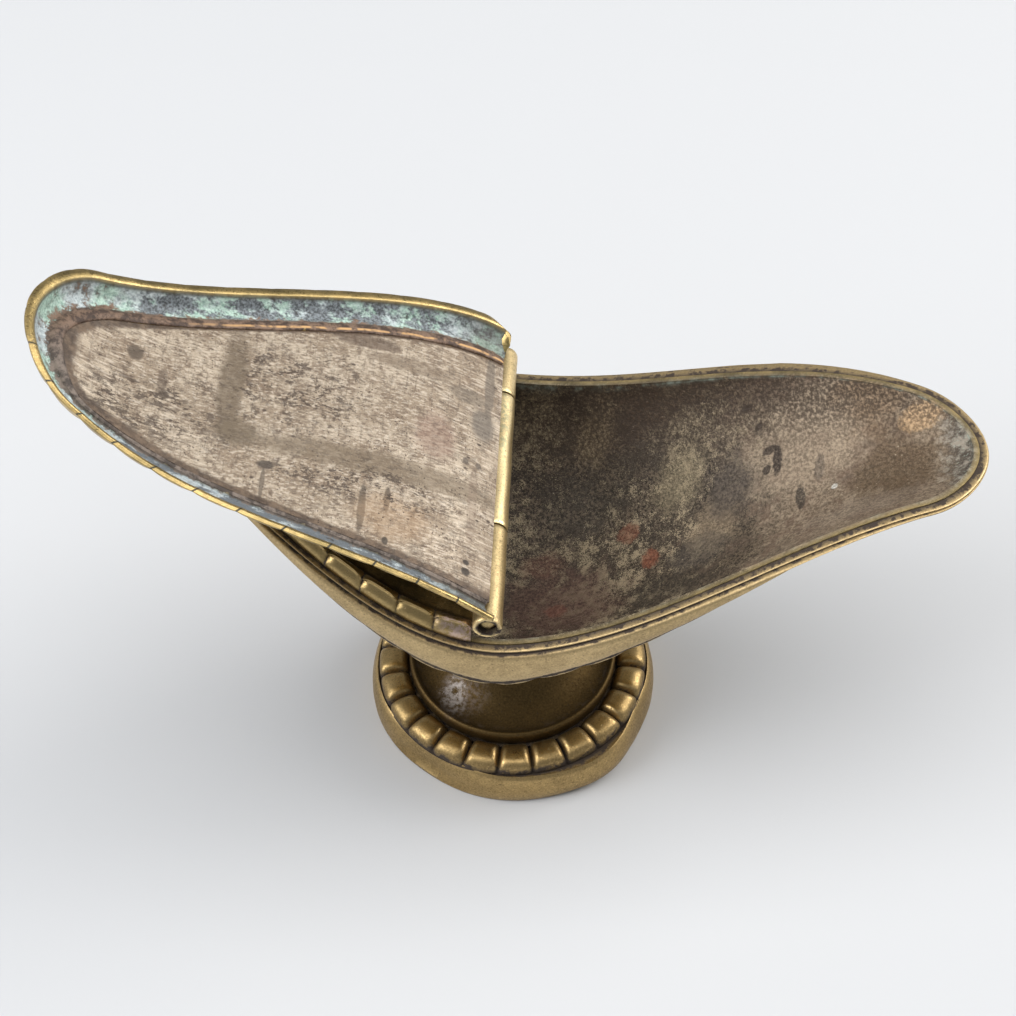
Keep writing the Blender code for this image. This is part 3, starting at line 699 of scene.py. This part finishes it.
def make_rim():
    # (offset outwards, fixed drop, share of the band's height, groove, rub, gadroon)
    profile = smooth_profile((
        (-1.85, 0.4, 0, 0.9), (-1.8, 0.1, 0, 0.9), (-1.2, -0.04, 0, 0.7), (-0.7, -0.04, 0, 0.55),
        (-0.3, -0.02, 0, 0.3, 0.1), (-0.08, 0.03, 0, 0, 0.8), (0, 0.2, 0, 0.3, 0.3),
        (-0.15, 0.42, 0, 0.9), (-0.1, 0.6, 0, 1), (0.35, 0.55, 0, 0.7),
        (0.75, 0.55, 0.03, 0.05, 0.2), (1.08, 0.6, 0.14, 0, 0.2), (1.2, 0.6, 0.34, 0, 0.1),
        (1.2, 0.6, 0.58, 0, 0.05), (1.02, 0.6, 0.8, 0, 0.1), (0.8, 0.6, 0.92, 0, 0.4),
        (0.55, 0.6, 0.98, 0.5, 0.2), (0.4, 1.2, 1, 1, 0, 0.1), (0.15, 1.7, 1, 0.35, 0.1, 0.7),
        (-0.05, 2.3, 1, 0, 0.5, 1), (-0.5, 3, 1, 0, 0.3, 1), (-1.3, 3.7, 1, 0.2, 0.1, 0.8),
        (-2.4, 3.9, 1, 0.8, 0, 0.3), (-2.6, 2.5, 1, 1), (-1.3, 1, 0.9, 1),
    ))
    around = 1040
    base = whole_outline(0, around)
    normal = outward(base)
    middle = 1 - np.clip(np.abs(base[:, 0]) / end_length(base[:, 0]), 0, 1)
    inner = whole_outline(1.2, around)
    run, total = arc_length(base)
    lobes = round(total / LOBE_PITCH)
    from_seam = np.abs(2 * (run / total * lobes % 1) - 1)
    bulge = 1 - from_seam**3
    turn = run / total * 2 * math.pi
    uneven = 0.05 * np.sin(turn * 23) + 0.08 * np.sin(turn * 9 + 1)
    fade = ramp(middle, 0.45, 0.3)
    run_out = np.where(base[:, 0] < 0, DECK_BAND_END, LID_BAND_END)
    height = 0.25 + 6.95 * ramp(middle, run_out, 1 - run_out) ** 0.7
    columns, grooves = [], []
    for offset, drop, share, groove, _, gadroon in profile:
        fixed, below = min(drop, 1.2), max(drop - 1.2, 0)
        if offset > 0:
            plan = base + normal * (offset * (0.12 + 0.88 * ramp(middle, 0, 0.5)))[:, None]
        else:
            reach = np.where(offset < -1.9, 1.45 + (-1.45 - offset) * fade, -offset)
            plan = base + (inner - base) * (reach / 1.2)[:, None]
        plan = plan + normal * (0.45 * gadroon * fade * bulge)[:, None]
        drop_here = fixed * (0.55 + 0.45 * middle) + share * height + share * uneven * middle
        drop_here = drop_here + below * fade * (0.35 + 0.2 * bulge)
        columns.append(np.column_stack([plan, ledge_z(plan[:, 0]) - drop_here]))
        shown = 0.35 + 0.65 * middle if offset > -0.25 else 1
        grooves.append(np.clip(groove * shown + gadroon * from_seam**8, 0, 1))
    sections = np.stack(columns, 1)
    values = {"groove": np.stack(grooves, 1), "rub": profile[:, 4]}
    piece = loft("rim_band", sections, BOAT, values, around=True)
    keep(piece, "boat", "rim_moulding",
         brass("rim_brass", bright=(0.68, 0.51, 0.27), dull=(0.42, 0.315, 0.165),
               rough=(0.42, 0.58), seed=3, grain=0.35))


def border_piece(name, side, outer, start, lobes, place):
    # (offset outwards, height, pull-in and drop at the notches, groove, trough, ridge, lip)
    profile = smooth_profile((
        (outer - 0.2, 0.38, 0.08), (outer - 0.15, 0.8, 0.12, 0.05), (outer - 0.17, 1.3, 0.2, 0.1),
        (outer - 0.4, 2.1, 0.3, 0.3), (outer - 1, 2.95, 0.25, 0.5), (outer - 2, 3.7, 0.1, 0.7),
        (-1.9, 4.15, 0, 0.75), (-3.3, 4.3, 0, 0.7), (-4.6, 4.15, 0, 0.5),
        (-5.7, 3.75, 0, 0.2, 0.2), (-6.5, 3.42, 0, 0, 0.6), (-6.7, 3.3, 0, 0, 0.8),
        (-6.72, 2.75, 0, 0, 0.4, 0, 0.3), (-6.7, 2.3, 0, 0, 0, 0, 1), (-6.45, 2.1, 0, 0, 0, 0, 1),
        (-5.9, 1.95, 0, 0, 0, 0, 1), (-5.2, 2.1, 0, 0, 0, 0, 1), (-4.6, 2.4, 0, 0, 0, 0.2, 1),
        (-4.3, 2.75, 0, 0, 0, 0.8, 0.6), (-3.95, 2.95, 0, 0, 0, 1, 0.5),
        (-3.3, 3.05, 0, 0, 0, 1, 0.3), (-2.4, 2.95, 0, 0.1, 0, 1, 0.12),
        (outer - 3, 2.6, 0.05, 0.1, 0, 1), (outer - 2.1, 1.95, 0.1, 0.1, 0, 1, 0, 0.1),
        (outer - 1.5, 1.2, 0.1, 0, 0, 1, 0, 0.4), (outer - 1.2, 0.75, 0.1, 0, 0, 0.9, 0, 1),
        (outer - 1, 0.4, 0.1, 0, 0, 0.1, 0, 0.5), (outer - 0.7, 0.26, 0.05),
        (outer - 0.35, 0.26, 0.06),
    ))
    if side > 0:
        face = np.arange(len(profile)) < len(profile) // 2
        near_edge = ramp(profile[:, 0], -3, 3)
        lean_in = 0.85 * ramp(profile[:, 1], 0.7, 1.4) * near_edge
        profile[:, 0] += np.where(face, 0.22 * near_edge - lean_in, 0)
        profile[:, 1] -= np.where(face, 0.15 * np.clip(profile[:, 1] - 2, 0, 1), 0)
    per_lobe = 18
    count = lobes * per_lobe + 1
    phase = np.arange(count) / per_lobe % 1
    bulge = 1 - np.abs(2 * phase - 1) ** 3.5
    notch = 1 - bulge
    cut = np.abs(2 * phase - 1) ** 26
    along = np.linspace(0, 1, count)
    front = front_share(along)
    columns = []
    corner = ramp(along - 1, -CORNER_SHARE, CORNER_SHARE) if side > 0 else 0 * along
    corner = 1 - np.sqrt(1 - corner**2)
    deep = 1 if side > 0 else 1.8
    for row, (offset, height, pull, fall, *_) in enumerate(profile):
        pull, fall = pull * deep, fall * deep
        plan = half_outline(side, -offset, count, start)
        tighter = half_outline(side, -offset + 1, count, start)
        if offset < -2:
            narrow = half_outline(side, 2 - (offset + 2) * FRONT_SHARE, count, start)
            plan = plan + (narrow - plan) * front[:, None]
        if row > len(profile) // 2:
            shift = 0.8 * ramp(offset - outer, -3.7, 1.6) * ramp(outer - offset, 0, 0.8)
            inwards = tighter - half_outline(side, -offset, count, start)
            plan = plan + inwards * (shift * (1 - front))[:, None]
        rounding = max(CORNER_DEPTH * (offset + BORDER_WIDTH) / (outer + BORDER_WIDTH), 0)
        plan = plan + (tighter - plan) * (pull * notch + rounding * corner)[:, None]
        z = ledge_z(plan[:, 0]) + height - fall * notch
        if row > len(profile) // 2:
            z = z + (min(height, 1.9) - height) * corner
        z = z + 0.06 * wobble(plan[:, 0], plan[:, 1], 14, 2)
        ridged = (profile[row, 6] > 0.9) * ramp(2.7 - height, 0, 0.7)
        z = z + ridged * (0.3 * front + 0.14 * wobble(plan[:, 0], plan[:, 1], 2.3, 4))
        columns.append(np.column_stack([plan, z]))
    sections = np.stack(columns, 1)
    top = np.clip(1 - profile[:, 5] - profile[:, 6], 0, 1)
    plain = 1 - 0.75 * ramp(along, 0.45, 0.1) if side > 0 else 0.55 + 0 * along
    # The groove value paints shade into the notches between the lobes.
    groove = np.clip(profile[:, 4] + (0.95 * cut * plain)[:, None] * top[None], 0, 1)
    rub = np.clip(0.5 * bulge[:, None] * top[None] * (1 - profile[:, 4]), 0, 1)
    crest = np.exp(-(((profile[:, 0] + 6.1) / 0.3) ** 2)) * (profile[:, 1] < 2.4)
    values = {"groove": groove, "rub": rub, "trough": profile[:, 5], "ridge": profile[:, 6],
              "lip": profile[:, 7], "crest": crest}
    return loft(name, sections, place, values)


def panel_piece(name, side, start, place):
    count = 700
    along = np.linspace(0, 1, count)
    front = front_share(along)[:, None]
    wide = half_outline(side, BORDER_WIDTH - 0.3, count, start)
    narrow = half_outline(side, 2 + (BORDER_WIDTH - 2.3) * FRONT_SHARE, count, start)
    edge = wide + (narrow - wide) * front
    reach = np.abs(edge[:, 0])
    tip = int(np.argmax(reach))
    end = float(reach[tip])
    rows, columns = 90, 61
    turns = np.linspace(0, math.pi / 2, rows)
    across = np.sin(np.linspace(-math.pi / 2, math.pi / 2, columns))
    xs = side * (start + (end - start) * np.sin(turns))
    x = np.repeat(xs[:, None], columns, 1)
    near_side = np.interp(np.abs(xs), reach[:tip + 1], edge[:tip + 1, 1])
    far_side = np.interp(np.abs(xs), reach[:tip - 1:-1], edge[:tip - 1:-1, 1])
    y = (near_side + far_side)[:, None] / 2 + (far_side - near_side)[:, None] / 2 * across[None]
    width = (far_side - near_side) / 2
    uneven = 0.1 * wobble(x, y, 12, 3) + 0.05 * wobble(x, y, 4, 1.3)
    edge_fade = np.clip((1 - np.abs(across)) * 6, 0, 1)[None]
    low = ledge_z(x) + PANEL_LOW + np.clip(uneven, -0.2, 0.2) * edge_fade
    high = low + PANEL_SHEET
    bottom, top = np.stack([x, y, low], 2), np.stack([x, y, high], 2)
    ring = [(0, c) for c in range(columns)] + [(r, columns - 1) for r in range(1, rows)]
    ring += [(rows - 1, c) for c in range(columns - 2, -1, -1)]
    ring += [(r, 0) for r in range(rows - 2, 0, -1)]
    half = rows * columns
    faces = grid_faces(rows, columns) + grid_faces(rows, columns, first=half)
    index = [r * columns + c for r, c in ring]
    for one, two in zip(index, index[1:] + index[:1]):
        faces.append((one, two, half + two, half + one))
    points = np.concatenate([bottom.reshape(-1, 3), top.reshape(-1, 3)])
    gap = np.minimum(width[:, None] * (1 - np.abs(across))[None], (end - np.abs(x)) * 0.8)
    tip_near = ramp(end - np.abs(x), 0, 22)
    side_reach = np.where(y < 0, 2.6, 1.3) * tip_near + 5 * (1 - tip_near)
    near = np.clip(1 - gap / side_reach, 0, 1)
    near = np.concatenate([near.ravel(), near.ravel()])
    outside = np.repeat([0, 1], half)
    return build(name, points, faces, place, {"rim_near": near, "outside": outside}, 50)


def make_covers():
    piece = border_piece("lid_rim", 1, LID_OVERHANG, BORDER_CLEAR + HINGE.x, LID_LOBES, LID)
    keep(piece, "lid", "lid_border", lid_border_look())
    piece = panel_piece("lid_plate", 1, PANEL_CLEAR + HINGE.x, LID)
    keep(piece, "lid", "lid_panel", panel_look("lid_plate", 0))
    piece = border_piece("deck_rim", -1, -DECK_INSET, BORDER_CLEAR - HINGE.x, DECK_LOBES, BOAT)
    solder = ((-6, -27.5, 3.2, 3, 0.62, 0.47, 0.42, 0.85),)
    keep(piece, "boat", "deck_border",
         brass("deck_brass", bright=(0.5, 0.36, 0.16), dull=(0.23, 0.17, 0.075), rough=(0.3, 0.46),
               tarnish=0.45, seed=7, grain=0.3, stains=solder))
    piece = panel_piece("deck_plate", -1, PANEL_CLEAR - HINGE.x, BOAT)
    keep(piece, "boat", "deck_panel", panel_look("deck_plate", 3))


def barrel(name, y_low, y_high, leaf_side, place):
    """A rolled knuckle: an open C of sheet round the pin, its edge lying on the leaf."""
    width = y_high - y_low
    middle = np.linspace(0.8, width - 0.8, 24)
    ends = [0, 0.12, 0.3], [width - 0.3, width - 0.12, width]
    stations = np.concatenate([ends[0], middle, ends[1]]) + y_low
    around = 60
    seam = math.radians(200 if leaf_side > 0 else -20)
    turns = seam + np.linspace(0.1, 2 * math.pi - 0.1, around)
    sections, grooves, rubs = [], [], []
    for y in stations:
        from_end = min(y - y_low, y_high - y)
        shrink = 0.12 * max(0, 1 - from_end / 0.3)
        outer = BARREL_R - shrink + 0.035 * np.sin(turns * 3 + y * 0.5) * min(from_end, 1) - 0.03
        skins = []
        for r in (outer, BORE_R + 0.05):
            skins.append(np.column_stack([r * np.cos(turns), 0 * turns + y, r * np.sin(turns)]))
        sections.append(np.concatenate([skins[0], skins[1][::-1]]))
        near_seam = sum(np.exp(-(((turns - edge) / 0.25) ** 2)) for edge in (turns[0], turns[-1]))
        grooves.append(np.concatenate([np.clip(near_seam, 0, 1), np.ones(around) * 0.7]))
        rubs.append(np.concatenate([0.6 + 0.3 * np.sin(turns), np.zeros(around)]))
    sections = np.array(sections) + np.array(HINGE)
    values = {"groove": np.array(grooves), "rub": np.array(rubs)}
    return loft(name, sections, place, values, sharp_degrees=50)


def leaf(name, side, level, y_low, y_high, place):
    """The thin plate that carries a knuckle, following the panel that it's soldered to."""
    xs = np.array([1.9, 2.6, 4.2, 5.8, 7.4, 8.8, 9])
    drop = np.array([0.25, 0, 0, 0, 0, 0.02, 0.1])
    sections = []
    stations = np.linspace(y_low, y_high, 9)
    for y in stations:
        rise = ledge_z(HINGE.x + side * xs) - RIM_Z
        low = [(side * x, y, level + r) for x, r in zip(xs, rise)]
        high = [(side * x, y, level + r + LEAF_SHEET - d) for x, r, d in zip(xs, rise, drop)]
        sections.append(low + high[::-1])
    sections = np.array(sections) + np.array(HINGE)
    zero = np.zeros(sections.shape[:2])
    return loft(name, sections, place, {"groove": zero + 0.1, "rub": zero + 0.2})


def join(pieces):
    bpy.ops.object.select_all(action="DESELECT")
    for piece in pieces:
        piece.select_set(True)
    bpy.context.view_layer.objects.active = pieces[0]
    bpy.ops.object.join()
    return pieces[0]


def make_hinge():
    over = PANEL_LOW + PANEL_SHEET + 0.3 - (HINGE.z - RIM_Z)
    under = PANEL_LOW - 1 - (HINGE.z - RIM_Z)
    y0, y1 = KNUCKLE_ENDS
    gap = KNUCKLE_GAP
    plan = (
        ("knuckle_front", "lid_knuckle_front", "lid", LID, 1, over,
         (-BARREL_HALF, y0 - gap), (-LEAF_HALF, y0 - 2 * gap),
         "brass_outside", (0.84, 0.65, 0.34), 11),
        ("knuckle_middle", "deck_knuckle", "boat", BOAT, -1, under,
         (y0, y1), (y0 + gap, y1 - gap), "brass_bright", (0.97, 0.77, 0.42), 12),
        ("knuckle_rear", "lid_knuckle_rear", "lid", LID, 1, over,
         (y1 + gap, BARREL_HALF), (y1 + 2 * gap, LEAF_HALF),
         "brass_outside", (0.86, 0.67, 0.36), 13),
    )
    verdigris = (
        (-2.6, 2, 0.5, 13, 0.42, 0.56, 0.44, 0.8), (-0.5, 12, 0.8, 8, 0.3, 0.36, 0.24, 0.6),
    )
    for name, node, body, place, side, level, tube_ends, leaf_ends, slot, colour, seed in plan:
        tube = barrel(name, *tube_ends, side, place)
        plate = leaf(name + "_leaf", side, level, *leaf_ends, place)
        piece = join([tube, plate])
        keep(piece, body, node,
             brass(name + "_brass", bright=colour, dull=shade(colour, 0.5), rough=(0.4, 0.55),
                   tarnish=0.35, seed=seed, stains=verdigris))
    end = BARREL_HALF - 0.6
    rounds = [(0.35, end), (0.8, end - 0.03), (1.1, end - 0.12), (PIN_R, end - 0.35), (PIN_R, 10)]
    rounds = [(r, -y) for r, y in rounds] + rounds[::-1]
    turns = np.linspace(0, 2 * math.pi, 40, endpoint=False)
    sections = [[(r * math.cos(t), y, r * math.sin(t)) for t in turns] for r, y in rounds]
    sections = np.array(sections) + np.array(HINGE)
    zero = np.zeros(sections.shape[:2])
    piece = loft("pin", sections, LID, {"groove": zero + 0.15, "rub": zero + 0.3})
    keep(piece, "lid", "hinge_pin", brass("pin_brass", seed=14))


def turned(name, profile, around, change, place, extra):
    """profile rows are (radius, height, ...). change(turn, rows) moves the rows at one turn."""
    sections, values = [], {key: [] for key in extra}
    for step in range(around):
        turn = 2 * math.pi * step / around
        rows = change(turn, profile.copy())
        radius, height = rows[:, 0], rows[:, 1]
        sections.append(np.column_stack([radius * math.cos(turn), radius * math.sin(turn), height]))
        for key, column in extra.items():
            values[key].append(rows[:, column])
    values = {key: np.array(rows) for key, rows in values.items()}
    return loft(name, np.array(sections), place, values, around=True)


def make_foot():
    # (radius, height, share of a bead, groove, rub)
    outer = [
        (25.95, 0.02, 0, 0.2, 0), (26.5, 0.25, 0, 0, 0.1), (26.72, 0.9, 0, 0, 0.2),
        (26.8, 2, 0, 0, 0.2), (26.75, 3.4, 0, 0, 0.2), (26.5, 4.8, 0, 0, 0.25),
        (26.15, 5.9, 0, 0, 0.3), (25.8, 6.6, 0, 0, 0.5), (25.5, 6.85, 0, 0.2, 0.4),
        (25.25, 6.7, 0, 1, 0), (25.1, 6.3, 0, 1, 0),
    ]
    beads = []
    centre, half, low, high = 22.35, 2.82, 6.5, 9.75
    for angle in np.linspace(0, math.pi, 21):
        bead = math.sin(angle)
        radius, height = centre + half * math.cos(angle), low + (high - low) * bead**0.5
        beads.append((radius, height, 1, 0.75 * (1 - bead) ** 3, 0.6 * bead**3))
    inner = [
        (19.62, 6.4, 0, 1, 0), (19.6, 6.9, 0, 0.9, 0), (19.55, 7.4, 0, 0.7, 0),
        (18.4, 7.45, 0, 0.6, 0), (17.95, 7.4, 0, 0.6, 0), (17.95, 6.35, 0, 0.6, 0),
        (22.9, 5.4, 0, 0.6, 0), (24.5, 3.6, 0, 0.6, 0), (24.65, 0.6, 0, 0.6, 0),
        (24.75, 0.02, 0, 0.4, 0),
    ]
    profile = np.array(outer + beads + inner)

    def change(turn, rows):
        phase = (turn * BEADS / (2 * math.pi) + 0.26) % 1
        from_seam = np.abs(2 * phase - 1)
        bulge = max(0, 1 - (from_seam / 0.94) ** 5)
        on_bead = rows[:, 2] > 0
        shape = rows[on_bead]
        lift = (shape[:, 1] - low) * (0.42 + 0.58 * bulge**0.5)
        squeeze = 0.86 + 0.14 * bulge**0.5
        rows[on_bead, 0] = centre + (shape[:, 0] - centre) * squeeze
        rows[on_bead, 1] = low + lift
        seam = 0.9 * from_seam**11
        rows[on_bead, 3] = np.clip(shape[:, 3] + seam, 0, 1)
        rows[on_bead, 4] = shape[:, 4] * bulge
        dents = 0
        for at, deep, wide in FOOT_DENTS:
            off = math.atan2(math.sin(turn - math.radians(at)), math.cos(turn - math.radians(at)))
            dents += deep * math.exp(-((off / math.radians(wide)) ** 2))
        wall = rows[:, 0] > 25.3
        rows[wall, 0] *= 1 - dents * np.clip(rows[wall, 1] / 2, 0.35, 1)
        return rows

    piece = turned("foot_ring", profile, BEADS * 22, change, FOOT, {"groove": 3, "rub": 4})
    keep(piece, "boat", "foot",
         brass("foot_brass", bright=(0.6, 0.415, 0.18), dull=(0.29, 0.205, 0.092), rough=(0.3, 0.5),
               seed=21))


def make_stem():
    top = (stem_high.z - foot_low.z) / MM
    profile = smooth_profile((
        (19.1, 7.85, 0.6), (19.35, 8.6, 0.2, 0.1), (19.4, 9.6, 0, 0.3), (19.38, 10.6, 0, 0.6),
        (19, 11.05, 0, 0.8), (18.6, 10.95, 0, 0.3), (18.2, 10.6, 0.3), (17.4, 10.45, 0.15),
        (16.2, 10.55, 0, 0.05), (14.7, 11.05, 0, 0.1), (13.2, 11.9, 0, 0.1),
        (11.9, 13.2, 0, 0.15), (10.9, 14.8, 0, 0.2), (10, 16.6, 0, 0.2), (9.4, 18.6, 0, 0.2),
        (8.95, 20.6, 0, 0.1), (8.72, 22.6, 0, 0.1), (8.7, 24.6, 0.1), (8.9, 26.2, 0.3),
        (9.4, top - 0.15, 0.6), (9, top, 0.6), (2.95, top, 0.5), (2.95, top - 1.2, 0.5),
        (7.6, top - 1.25, 0.5), (7.6, 22, 0.5), (8.3, 17.7, 0.5), (9.8, 13.5, 0.5),
        (12.4, 10.6, 0.5), (15.7, 9.15, 0.5), (17.4, 8.7, 0.5), (17.4, 7.9, 0.5), (18, 7.85, 0.5),
    ))

    def change(turn, rows):
        rows[:, 0] *= 1 + 0.002 * math.sin(3 * turn + 0.6)
        return rows

    piece = turned("stem_trumpet", profile, 160, change, FOOT, {"groove": 2, "rub": 3})
    stains = (
        (-8.5, -10.5, 4.5, 4.5, 0.17, 0.13, 0.1, 0.8),
        (-10.5, -11, 2.2, 3.5, 0.44, 0.4, 0.37, 0.75),
    )
    # The stem's colours are far darker than the other brass: painted shade for its place under the
    # hull.
    keep(piece, "boat", "stem",
         brass("stem_brass", bright=(0.13, 0.084, 0.033), dull=(0.08, 0.052, 0.021),
               rough=(0.55, 0.65), tarnish=0.6, seed=25, stains=stains))


make_hull()
make_rim()
make_covers()
make_hinge()
make_foot()
make_stem()

hidden_brass = brass("fixing_brass", seed=31)
for node in ("fixing_stud", "washer", "nut"):
    data = frame["nodes"][node].data
    data.materials.clear()
    data.materials.append(hidden_brass)

# ---------------------------------------------------------------- floor, light and camera

# In metres.
FLOOR_HALF = 2.4
CAMERA_ELEVATION, CAMERA_AZIMUTH, CAMERA_ROLL = (math.radians(a) for a in (50.73, 3.78, -1.65))
CAMERA_DISTANCE = 0.39409
CAMERA_TARGET = Vector((foot_x - 0.00003, 0, 0.05291))
SENSOR_WIDTH, FOCAL_SHARE = 36, 2.23275  # mm, and the lens as a share of the sensor
# (name, place, aim, (width, length), watts, colour)
LIGHTS = (
    ("overhead", (0, -0.05, 1.5), (0, 0, 0), (1.7, 1.3), 16.3, (1, 0.99, 0.97)),
    ("left", (-0.85, -0.25, 0.55), (0, 0, 0.03), (0.6, 0.7), 6.6, (0.97, 0.98, 1)),
    ("right", (0.8, 0.3, 0.6), (0, 0, 0.03), (0.6, 0.7), 6.2, (1, 0.98, 0.95)),
)
SKY_COLOUR, SKY_STRENGTH = (0.92, 0.95, 1, 1), 0.3


def make_floor():
    xs = np.linspace(-FLOOR_HALF, FLOOR_HALF, 3)
    points = [(x, y, 0) for y in xs for x in xs]
    mesh = bpy.data.meshes.new("floor")
    mesh.from_pydata(points, [], grid_faces(len(xs), len(xs)))
    floor = bpy.data.objects.new("floor", mesh)
    link(floor)
    material = bpy.data.materials.new("floor")
    material.use_nodes = True
    shader = material.node_tree.nodes["Principled BSDF"]
    shader.inputs["Base Color"].default_value = (0.63, 0.64, 0.655, 1)
    shader.inputs["Roughness"].default_value = 0.6
    shader.inputs["Specular IOR Level"].default_value = 0.05
    mesh.materials.append(material)


def area_light(name, at, aim, size, power, colour):
    data = bpy.data.lights.new(name, "AREA")
    data.shape = "RECTANGLE"
    data.size, data.size_y = size
    data.energy = power
    data.color = colour
    light = bpy.data.objects.new(name, data)
    light.location = at
    light.rotation_euler = (Vector(aim) - Vector(at)).to_track_quat("-Z", "Y").to_euler()
    link(light)


def make_light():
    world = bpy.data.worlds.new("studio")
    world.use_nodes = True
    sky = world.node_tree.nodes["Background"]
    sky.inputs["Color"].default_value = SKY_COLOUR
    sky.inputs["Strength"].default_value = SKY_STRENGTH
    bpy.context.scene.world = world
    for light in LIGHTS:
        area_light(*light)


def make_camera():
    level, roll = math.cos(CAMERA_ELEVATION), CAMERA_ROLL
    towards = Vector((math.sin(CAMERA_AZIMUTH) * level, -math.cos(CAMERA_AZIMUTH) * level,
                      math.sin(CAMERA_ELEVATION)))
    right = (-towards).cross(Vector((0, 0, 1))).normalized()
    up = right.cross(-towards)
    turned_right = math.cos(roll) * right + math.sin(roll) * up
    turned_up = -math.sin(roll) * right + math.cos(roll) * up
    data = bpy.data.cameras.new("camera")
    data.sensor_width = SENSOR_WIDTH
    data.lens = SENSOR_WIDTH * FOCAL_SHARE
    data.clip_start = 0.01
    camera = bpy.data.objects.new("camera", data)
    camera.matrix_world = Matrix.Translation(CAMERA_TARGET + towards * CAMERA_DISTANCE) @ Matrix(
        (turned_right, turned_up, towards)
    ).transposed().to_4x4()
    link(camera)
    bpy.context.scene.camera = camera


make_floor()
make_light()
make_camera()
bpy.context.scene.view_settings.view_transform = "Standard"
